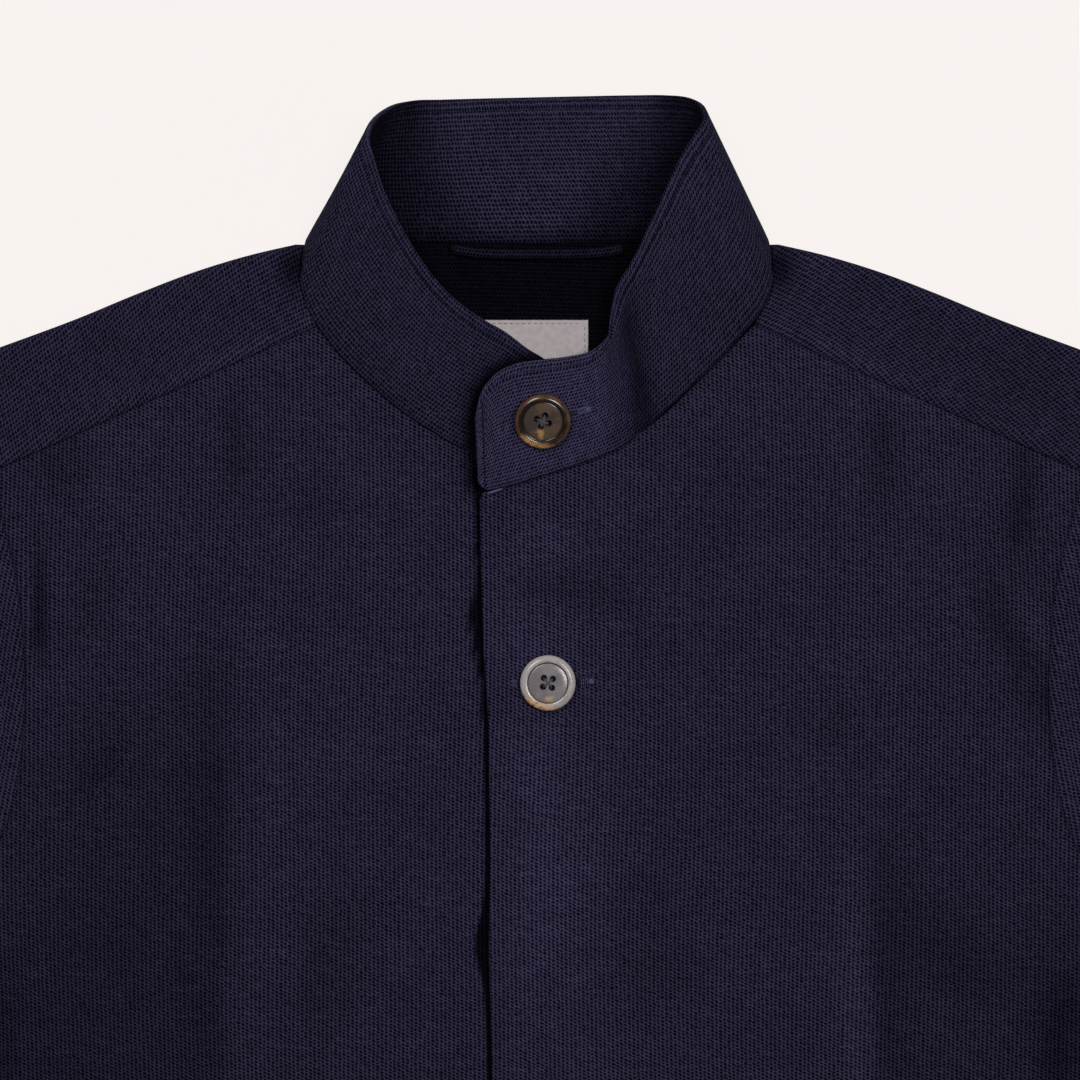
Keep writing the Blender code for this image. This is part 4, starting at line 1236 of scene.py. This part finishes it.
def button_mesh():
    """A turned disc with a raised rim, a dished face and four bevelled holes."""
    rim, floor = BUTTON_HEIGHT, BUTTON_FLOOR
    dish, edge = BUTTON_DISH, BUTTON_RADIUS
    profile = [
        (0, floor), (2.0, floor), (4.5, floor), (dish - 0.5, floor), (dish - 0.15, floor - 0.12),
        (dish + 0.02, floor - 0.05), (dish + 0.1, rim - 0.5), (dish + 0.32, rim - 0.15),
        (dish + 0.75, rim), (dish + 1.35, rim - 0.06), (edge - 0.9, rim - 0.32),
        (edge - 0.4, rim - 0.72), (edge - 0.08, rim - 1.2), (edge, rim - 1.6), (edge - 0.15, 1.0),
        (edge - 0.8, 0.4), (edge - 2.4, 0), (0, 0),
    ]
    mesh = bpy.data.meshes.new("button_turned")
    mesh.from_pydata([(r, 0, z) for r, z in profile], [(k, k + 1) for k in range(len(profile) - 1)], [])
    blank = bpy.data.objects.new("button_blank", mesh)
    bpy.context.scene.collection.objects.link(blank)
    screw = blank.modifiers.new("Turn", "SCREW")
    screw.steps = screw.render_steps = 96
    screw.use_merge_vertices = True
    screw.merge_threshold = 1e-4
    cutters = []
    for k in range(4):
        a = pi / 4 + k * pi / 2
        x, y = BUTTON_HOLE_PITCH * 2**0.5 * cos(a), BUTTON_HOLE_PITCH * 2**0.5 * sin(a)
        bpy.ops.mesh.primitive_cylinder_add(vertices=28, radius=BUTTON_HOLE, depth=3 * rim,
                                            location=(x, y, 0))
        cutters.append(bpy.context.object)
        bpy.ops.mesh.primitive_cone_add(vertices=28, radius1=BUTTON_HOLE, depth=HOLE_BEVEL,
                                        radius2=BUTTON_HOLE + HOLE_BEVEL, location=(x, y, floor))
        cutters.append(bpy.context.object)
    for cutter in cutters:
        blank.modifiers.new("Hole", "BOOLEAN").object = cutter
    graph = bpy.context.evaluated_depsgraph_get()
    done = bpy.data.meshes.new_from_object(blank.evaluated_get(graph))
    for ob in [blank, *cutters]:
        bpy.data.objects.remove(ob)
    return done


def collar_frame(section, share):
    """A place on the collar's middle and the way its outside faces there."""
    def at(ds, dh):
        return collar_surface(np.array(section + ds), np.array(share + dh))

    along = at(0.4, 0) - at(-0.4, 0)
    up = at(0, 0.1) - at(0, -0.1)
    facing = unit(np.cross(along, up))
    if facing[2] < 0:
        facing = -facing
    return at(0, 0), facing, unit(along)


def seat(number):
    """Where a button sits on the cloth, the way the cloth faces and the way its buttonhole runs."""
    place, x, _ = BUTTONS[number]
    if number == 0:
        here, facing, along = collar_frame(place, TAB_BUTTON_SHARE)
        return here + facing * (COLLAR_WALL / 2), facing, -along
    z = float(over_height(np.array((x, place), float))) + CLOTH / 2
    return np.array((x, place, z)), np.array((0, 0, 1.0)), np.array((1.0, 0.03, 0))


def button_seat(number):
    """Where a button's underside is and the way it faces: the collar's one leans."""
    face, facing, _ = seat(number)
    if number == 0:
        return face + facing * (BUTTON_GAP + COLLAR_BUTTON_RISE), unit(facing + COLLAR_BUTTON_LEAN)
    return face + facing * BUTTON_GAP, facing


def button(number, template, material):
    """A button in its place."""
    face, facing = button_seat(number)
    mesh = template.copy()
    ob = bpy.data.objects.new(f"horn_button_{number + 1}", mesh)
    mesh.materials.clear()
    mesh.materials.append(material)
    mesh.transform(Matrix.Rotation(radians(BUTTONS[number][2]), 4, "Z"))
    mesh.transform(Matrix.Scale(MM, 4))
    mesh.shade_smooth()
    mesh.set_sharp_from_angle(angle=radians(38))
    bpy.context.scene.collection.objects.link(ob)
    tilt = Vector((0, 0, 1)).rotation_difference(Vector(facing)).to_matrix().to_4x4()
    here = Vector(face - (0.0, ORIGIN_Y, 0.0))
    ob.matrix_world = Matrix.Translation(here * MM) @ tilt
    return ob


def button_thread(number, material, shank_material):
    """Strands that cross between the four holes, and the shank under the button."""
    face, facing = button_seat(number)
    spin = Matrix.Rotation(radians(BUTTONS[number][2]), 3, "Z")
    tilt = Vector((0, 0, 1)).rotation_difference(Vector(facing)).to_matrix()
    parts = []
    for dx, dy in ((1, 1), (1, -1)):
        for shift in (-0.14, 0.14):
            path = []
            for t in np.linspace(-1, 1, 13):
                reach = t * BUTTON_HOLE_PITCH
                lift = BUTTON_FLOOR + 0.3 - 4.8 * max(abs(t) - 0.72, 0) + 0.1 * (dy > 0)
                strand = Vector((reach * dx - shift * dy, reach * dy + shift * dx, lift))
                path.append(np.array(tilt @ spin @ strand) + face)
            parts.append(tube("strand", path, 0.17, material))
    # The shank under the button is drawn in dark thread: painted shade
    foot, up, _ = seat(number)
    shank = [foot - up * 0.2, lerp(foot, face, 0.5), face + facing * 0.15]
    parts.append(tube("strand", shank, 1.4, shank_material, sides=12))
    return joined(f"button_thread_{number + 1}", parts)


def buttonhole(number, material, dark):
    """A worked buttonhole: stitches side by side round a slit, with a bar at its end."""
    face, facing, along = seat(number)
    across = unit(np.cross(facing, along))
    start, end = BUTTONHOLE_COLLAR if number == 0 else BUTTONHOLE_FRONT

    def strand(points, radius, look):
        """A thread through points given as distances along, across and out of the cloth."""
        path = [face + along * a + across * b + facing * c for a, b, c in points]
        return tube("strand", path, radius, look, sides=5)

    parts = []
    for side in (1, -1):
        for k in range(int((end - start) / BUTTONHOLE_PITCH)):
            run = start + k * BUTTONHOLE_PITCH
            jitter = 0.2 * sin(7.3 * k + side) + 0.12 * sin(2.9 * k)
            # Stitches under the button are drawn in dark thread: painted shade under the button
            shown = run > end - 4.2 or run < start + 2.2
            points = ((run, side * 0.12, -0.1), (run, side * (0.55 + jitter), 0.16),
                      (run, side * (1.1 + jitter), -0.12))
            parts.append(strand(points, 0.2, material if shown else dark))
    for k in range(5):
        turn = (k - 2) * 0.4
        run = end + 0.1 * k
        points = ((run + turn * 0.2, -0.9, -0.05), (run + turn, 0, 0.3), (run + turn * 0.2, 0.9, -0.05))
        parts.append(strand(points, 0.2, material))
    if number == 0:
        for side in (1, -1):
            tail = ((9.5, side * 1.5, 0), (13, side * 1.2, 0.25), (end + 1.5, 0.9, 0))
            parts.append(strand(tail, 0.14, material))
    return joined(f"buttonhole_{number + 1}", parts)


def bar_tack(material):
    """The short bar at the lower corner of the tab."""
    parts = []
    for shift in (-0.3, 0.0, 0.3):
        path = []
        for t in np.linspace(0, 1, 6):
            x, y = lerp(np.array(BAR_TACK[0]), np.array(BAR_TACK[1]), t)
            y += shift * (1 - 0.5 * t)
            z = float(over_height(np.array((x, y)))) + CLOTH / 2 + sin(pi * t) + 0.25
            path.append((x, y, z))
        parts.append(tube("strand", path, 0.2, material, sides=5))
    return joined("tab_bar_tack", parts)


# --- Materials -------------------------------------------------------------------------------------


class Nodes:
    """A material's node tree, with short calls for the nodes used here."""

    def __init__(self, name):
        self.material = bpy.data.materials.new(name)
        self.material.use_nodes = True
        self.tree = self.material.node_tree
        self.shader = self.tree.nodes["Principled BSDF"]

    def put(self, socket, value):
        if isinstance(value, bpy.types.NodeSocket):
            self.tree.links.new(value, socket)
        else:
            socket.default_value = value

    def math(self, operation, *values):
        node = self.tree.nodes.new("ShaderNodeMath")
        node.operation = operation
        for socket, value in zip(node.inputs, values):
            self.put(socket, value)
        return node.outputs[0]

    def radius(self, x, y):
        """The length of the arrow (x, y)."""
        return self.math("SQRT", self.math("ADD", self.math("POWER", x, 2.0),
                                           self.math("POWER", y, 2.0)))

    def scale(self, vector, factor):
        node = self.tree.nodes.new("ShaderNodeVectorMath")
        node.operation = "SCALE"
        self.put(node.inputs[0], vector)
        self.put(node.inputs["Scale"], factor)
        return node.outputs[0]

    def spun(self, vector, angle):
        node = self.tree.nodes.new("ShaderNodeVectorRotate")
        node.rotation_type = "Z_AXIS"
        self.put(node.inputs["Vector"], vector)
        node.inputs["Angle"].default_value = angle
        return node.outputs[0]

    def mix(self, factor, a, b):
        node = self.tree.nodes.new("ShaderNodeMix")
        node.data_type = "RGBA"
        self.put(node.inputs["Factor"], factor)
        self.put(node.inputs[6], a)
        self.put(node.inputs[7], b)
        return node.outputs[2]

    def steps(self, value, low, high, to_low=0.0, to_high=1.0):
        node = self.tree.nodes.new("ShaderNodeMapRange")
        node.interpolation_type = "SMOOTHSTEP"
        for name, x in (("Value", value), ("From Min", low), ("From Max", high),
                        ("To Min", to_low), ("To Max", to_high)):
            self.put(node.inputs[name], x)
        return node.outputs[0]

    def combine(self, x, y, z=0.0):
        node = self.tree.nodes.new("ShaderNodeCombineXYZ")
        for socket, value in zip(node.inputs, (x, y, z)):
            self.put(socket, value)
        return node.outputs[0]

    def split(self, vector):
        node = self.tree.nodes.new("ShaderNodeSeparateXYZ")
        self.put(node.inputs[0], vector)
        return node.outputs

    def noise(self, vector, scale, detail=2.0, roughness=0.5):
        node = self.tree.nodes.new("ShaderNodeTexNoise")
        self.put(node.inputs["Vector"], vector)
        node.inputs["Scale"].default_value = scale
        node.inputs["Detail"].default_value = detail
        node.inputs["Roughness"].default_value = roughness
        return node.outputs[0]

    def white(self, vector):
        node = self.tree.nodes.new("ShaderNodeTexWhiteNoise")
        self.put(node.inputs["Vector"], vector)
        return node.outputs[0]

    def uv(self):
        node = self.tree.nodes.new("ShaderNodeUVMap")
        node.uv_map = "knit"
        return node.outputs[0]

    def place(self):
        return self.tree.nodes.new("ShaderNodeTexCoord").outputs["Object"]

    def attribute(self, name):
        node = self.tree.nodes.new("ShaderNodeAttribute")
        node.attribute_name = name
        return node.outputs["Fac"]

    def bump(self, height, strength, distance):
        node = self.tree.nodes.new("ShaderNodeBump")
        node.inputs["Strength"].default_value = strength
        node.inputs["Distance"].default_value = distance
        self.put(node.inputs["Height"], height)
        self.put(self.shader.inputs["Normal"], node.outputs[0])

    def finish(self, colour, **values):
        self.put(self.shader.inputs["Base Color"], colour)
        for name, value in values.items():
            self.put(self.shader.inputs[name.replace("_", " ")], value)
        return self.material


# Horn: the rim and its lip, the dish's two tones, the pale streak and its darker flecks, the pale
# patch in the dish by its middle and half widths, and the width of the painted shade round the dish
BROWN_HORN = (
    (0.0100, 0.0052, 0.0026, 1.0),
    (0.115, 0.056, 0.026, 1.0),
    ((0.046, 0.033, 0.028, 1.0), (0.088, 0.056, 0.036, 1.0)),
    (0.43, 0.24, 0.10, 1.0),
    (0.16, 0.062, 0.018, 1.0),
    (-0.8, -4.3, 1.5, 3.2),
    0.95,
)
GREY_HORN = (
    (0.370, 0.335, 0.330, 1.0),
    (0.400, 0.365, 0.360, 1.0),
    ((0.155, 0.140, 0.146, 1.0), (0.205, 0.186, 0.193, 1.0)),
    (0.56, 0.37, 0.20, 1.0),
    (0.27, 0.11, 0.040, 1.0),
    (0.7, -5.9, 2.4, 1.2),
    0.32,
)
HORN_TURNS = (0.0, 0.0, 70.0, 150.0, -50.0)

YARN = (0.0322, 0.0282, 0.0595, 1.0)
YARN_BLUE = (0.0455, 0.0413, 0.0815, 1.0)
YARN_GREY = (0.0312, 0.0288, 0.0463, 1.0)
# Painted shade down in the eyelets
EYELET_SHADE = (0.0010, 0.0006, 0.0078, 1.0)
GROOVE_SHADE = (0.006, 0.004, 0.004, 1.0)
SATIN = ((0.325, 0.29, 0.30, 1.0), (0.385, 0.34, 0.355, 1.0))
SATIN_RIB = 0.34
FLOOR = ((0.05, 0.048, 0.047, 1.0), (0.055, 0.053, 0.052, 1.0))
FLOOR_GLOW = (0.93, 0.886, 0.863, 1.0)


def knit(name):
    """Navy pique: columns of loops with a dark eyelet between every two, staggered; the eyelets' dark is
    painted shade.
    """
    n = Nodes(name)
    u, v, _ = n.split(n.uv())
    wander = n.noise(n.uv(), 420.0)
    wander_along = n.noise(n.combine(v, u), 480.0)
    x = n.math("ADD", n.math("DIVIDE", u, WALE * MM), n.math("MULTIPLY_ADD", wander, 0.7, -0.35))
    wale = n.math("FLOOR", x)
    column = n.math("SUBTRACT", n.math("FRACT", x), 0.5)
    y = n.math("ADD", n.math("DIVIDE", v, COURSE * MM), n.math("MULTIPLY", wale, STAGGER))
    y = n.math("ADD", y, n.math("MULTIPLY_ADD", wander_along, 0.9, -0.45))
    y = n.math("ADD", y, n.math("MULTIPLY", column, 0.35))
    row = n.math("SUBTRACT", n.math("FRACT", y), 0.5)
    each = n.white(n.combine(wale, n.math("FLOOR", y)))
    away = n.radius(n.math("DIVIDE", column, 0.40), n.math("DIVIDE", row, 0.38))
    eyelet = n.steps(away, n.math("MULTIPLY_ADD", each, 0.4, 0.45), 1.4, 1.0, 0.0)
    ply = n.math("SINE", n.math("MULTIPLY_ADD", row, 14.0, n.math("MULTIPLY", column, 9.0)))
    streak = n.noise(n.combine(n.math("MULTIPLY", u, 0.10), v), 900.0, 3.0, 0.6)
    patch = n.noise(n.combine(n.math("MULTIPLY", u, 0.35), v), 45.0, 3.0, 0.55)
    fuzz = n.noise(n.uv(), 2600.0, 2.0, 0.6)
    colour = n.mix(n.steps(streak, 0.42, 0.72), YARN, YARN_BLUE)
    colour = n.mix(n.steps(each, 0.55, 1.0, 0.0, 0.55), colour, YARN_GREY)
    # Painted shade in the eyelets
    colour = n.mix(n.math("MULTIPLY", eyelet, 0.93), colour, EYELET_SHADE)
    light = n.math("ADD", n.steps(patch, 0.25, 0.75, 0.93, 1.07), n.math("MULTIPLY_ADD", fuzz, 0.5, -0.25))
    light = n.math("ADD", light, n.math("MULTIPLY", ply, 0.14))
    shaded = n.scale(colour, n.math("MULTIPLY", light, n.attribute("shade")))
    n.bump(n.math("SUBTRACT", n.math("MULTIPLY", fuzz, 0.35), eyelet), 0.55, 0.35 * MM)
    return n.finish(shaded, Roughness=0.9, Specular_IOR_Level=0.02, Sheen_Weight=0.004,
                    Sheen_Roughness=0.5)


def horn(name, rim_colour, lip_colour, dish_colours, glow, amber, patch, groove, spin):
    """Polished horn: smoky layers, with a pale streak low on the rim and a patch by the holes."""
    n = Nodes(name)
    place = n.spun(n.place(), radians(spin))
    x, y, _ = n.split(place)
    drift = n.noise(place, 210.0, 4.0, 0.6)
    fine = n.noise(n.combine(n.math("MULTIPLY", x, 0.6), y, 0.002), 900.0, 3.0, 0.6)
    out = n.radius(x, y)
    rim = n.steps(out, (BUTTON_DISH - 0.1) * MM, (BUTTON_DISH + 0.1) * MM)
    colour = n.mix(n.steps(drift, 0.42, 0.66), *dish_colours)
    smoky = n.mix(n.steps(drift, 0.5, 0.7, 0.0, 0.5), rim_colour, dish_colours[0])
    lip = n.math("MULTIPLY", n.steps(out, (BUTTON_DISH + 1.2) * MM, (BUTTON_DISH + 2.2) * MM),
                 n.steps(drift, 0.3, 0.7, 0.3, 1.0))
    colour = n.mix(rim, colour, n.mix(lip, smoky, lip_colour))
    px, py, rx, ry = (value * MM for value in patch)
    sway = n.math("MULTIPLY_ADD", drift, 0.005, -0.0025)
    across = n.math("DIVIDE", n.math("ADD", n.math("SUBTRACT", x, px), sway), rx)
    along = n.math("DIVIDE", n.math("SUBTRACT", y, py), ry)
    pale = n.math("MULTIPLY", n.steps(n.radius(across, along), 0.2, 1.4, 0.8, 0.0),
                  n.steps(fine, 0.25, 0.55, 0.4, 1.0))
    low = n.math("ADD", n.math("MULTIPLY", x, -0.34), n.math("MULTIPLY", y, -0.94))
    low = n.math("ADD", low, n.math("MULTIPLY_ADD", drift, 0.004, -0.002))
    streak = n.math("MULTIPLY", n.steps(low, 0.0060, 0.0094), rim)
    colour = n.mix(n.math("MAXIMUM", pale, streak), colour, n.mix(n.steps(fine, 0.5, 0.68), glow, amber))
    # Painted shade in the groove round the dish and down the rim's inner wall
    from_wall = n.math("ABSOLUTE", n.math("SUBTRACT", out, (BUTTON_DISH - 0.02) * MM))
    colour = n.mix(n.steps(from_wall, 0.05 * MM, groove * MM, 0.75, 0.0), colour, GROOVE_SHADE)
    return n.finish(colour, Roughness=n.steps(fine, 0.2, 0.8, 0.17, 0.24), Specular_IOR_Level=0.5)


def thread(name, colour):
    """Twisted thread."""
    n = Nodes(name)
    twist = n.noise(n.place(), 2400.0, 2.0, 0.6)
    dark = tuple(c * 0.55 for c in colour) + (1.0,)
    n.bump(twist, 0.3, 0.1 * MM)
    return n.finish(n.mix(n.steps(twist, 0.3, 0.7), dark, (*colour, 1.0)), Roughness=0.7,
                    Specular_IOR_Level=0.2)


def satin(name):
    """White woven label tape, with its fine ribs across."""
    n = Nodes(name)
    ribs = n.math("SINE", n.math("MULTIPLY", n.split(n.uv())[1], 2 * pi / (SATIN_RIB * MM)))
    cloudy = n.noise(n.uv(), 400.0)
    colour = n.mix(n.steps(cloudy, 0.3, 0.7), *SATIN)
    n.bump(ribs, 0.25, 0.05 * MM)
    return n.finish(colour, Roughness=0.42, Specular_IOR_Level=0.35, Sheen_Weight=0.1)


def floor_material():
    """Pale paper, lit so evenly that no shadow shows on it."""
    n = Nodes("pale_floor")
    tint = n.mix(n.steps(n.noise(n.place(), 3.0), 0.3, 0.7), *FLOOR)
    return n.finish(tint, Roughness=1.0, Specular_IOR_Level=0.0, Emission_Color=FLOOR_GLOW,
                    Emission_Strength=0.955)


# --- Scene -----------------------------------------------------------------------------------------


def stage_floor():
    """The floor, a hair below the jacket."""
    mesh = bpy.data.meshes.new("floor")
    corners = [(x * FLOOR_HALF, y * FLOOR_HALF, 0) for x, y in ((-1, -1), (1, -1), (1, 1), (-1, 1))]
    mesh.from_pydata(corners, [], [(0, 1, 2, 3)])
    mesh.materials.append(floor_material())
    floor = bpy.data.objects.new("floor", mesh)
    floor.location.z = -0.0004
    bpy.context.scene.collection.objects.link(floor)


def area_light(name, place, size, power, colour):
    """A square soft box that faces the collar."""
    light = bpy.data.lights.new(name, "AREA")
    light.shape = "SQUARE"
    light.size = size
    light.energy = power
    light.color = colour
    ob = bpy.data.objects.new(name, light)
    ob.location = place
    ob.rotation_euler = (Vector(LIT_PLACE) - Vector(place)).to_track_quat("-Z", "Y").to_euler()
    bpy.context.scene.collection.objects.link(ob)


def studio():
    """A pale room that gives little light itself, and two soft boxes."""
    bpy.context.scene.view_settings.view_transform = "Standard"
    world = bpy.data.worlds.new("studio")
    bpy.context.scene.world = world
    world.use_nodes = True
    background = world.node_tree.nodes["Background"]
    background.inputs["Color"].default_value = ROOM_COLOUR
    seen = world.node_tree.nodes.new("ShaderNodeLightPath").outputs["Is Camera Ray"]
    strength = world.node_tree.nodes.new("ShaderNodeMath")
    strength.operation = "MULTIPLY_ADD"
    strength.inputs[1].default_value = ROOM_SEEN - ROOM_LIGHT
    strength.inputs[2].default_value = ROOM_LIGHT
    world.node_tree.links.new(seen, strength.inputs[0])
    world.node_tree.links.new(strength.outputs[0], background.inputs["Strength"])
    for light in LIGHTS:
        area_light(*light)


def camera():
    """A camera that looks straight down."""
    data = bpy.data.cameras.new("camera")
    data.type = "PERSP"
    data.lens = LENS
    data.sensor_width = SENSOR
    data.clip_end = 20.0
    ob = bpy.data.objects.new("camera", data)
    ob.location = CAMERA
    bpy.context.scene.collection.objects.link(ob)
    bpy.context.scene.camera = ob


def right_edge_line(y):
    """The right front's edge, hidden under the left one."""
    return RIGHT_EDGE_X + 0 * np.asarray(y, float)


def cloth_pieces(navy):
    """The pieces of knit by the CAD node that each stands for, with their flat sizes and areas."""
    return {
        "back": back(navy),
        "yoke": yoke(navy),
        "front_right": front("front_right_panel", -1, NECK_RIGHT, right_edge_line, under_height, navy),
        "front_left": front("front_left_panel", 1, NECK_LEFT, edge_x, over_height, navy),
        "sleeve_left": sleeve("sleeve_left_tube", 1, navy),
        "sleeve_right": sleeve("sleeve_right_tube", -1, navy),
        "collar": collar(navy),
    }


def main():
    navy = knit("navy_pique")
    periwinkle = thread("buttonhole_thread", (0.085, 0.095, 0.21))
    # Painted shade: dark thread for the stitches and shanks under the buttons
    shaded_thread = thread("shaded_thread", (0.014, 0.013, 0.030))
    grey_thread = thread("button_thread", (0.11, 0.11, 0.135))
    pale = thread("label_thread", (0.30, 0.28, 0.30))

    made = cloth_pieces(navy)
    loop, path = hanger_loop(navy)
    made["neck_label"] = label(satin("label_satin"))
    stitches = label_stitches(pale)
    extras = [stitches, bar_tack(periwinkle)]
    for node, (ob, cut, area) in made.items():
        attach(ob, "root")
        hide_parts(node)

    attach(loop, "root")
    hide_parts("hanger_loop")

    template = button_mesh()
    for number in range(len(BUTTONS)):
        brown = number % 2 == 0
        look = BROWN_HORN if brown else GREY_HORN
        ob = button(number, template, horn(f"horn_{number + 1}", *look, HORN_TURNS[number]))
        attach(ob, "root")
        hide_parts(f"button_{number + 1}")
        extras.append(button_thread(number, grey_thread, shaded_thread))
        extras.append(buttonhole(number, periwinkle, shaded_thread))
    bpy.data.meshes.remove(template)
    for ob in extras:
        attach(ob, "root")
    stage_floor()
    studio()
    camera()


main()
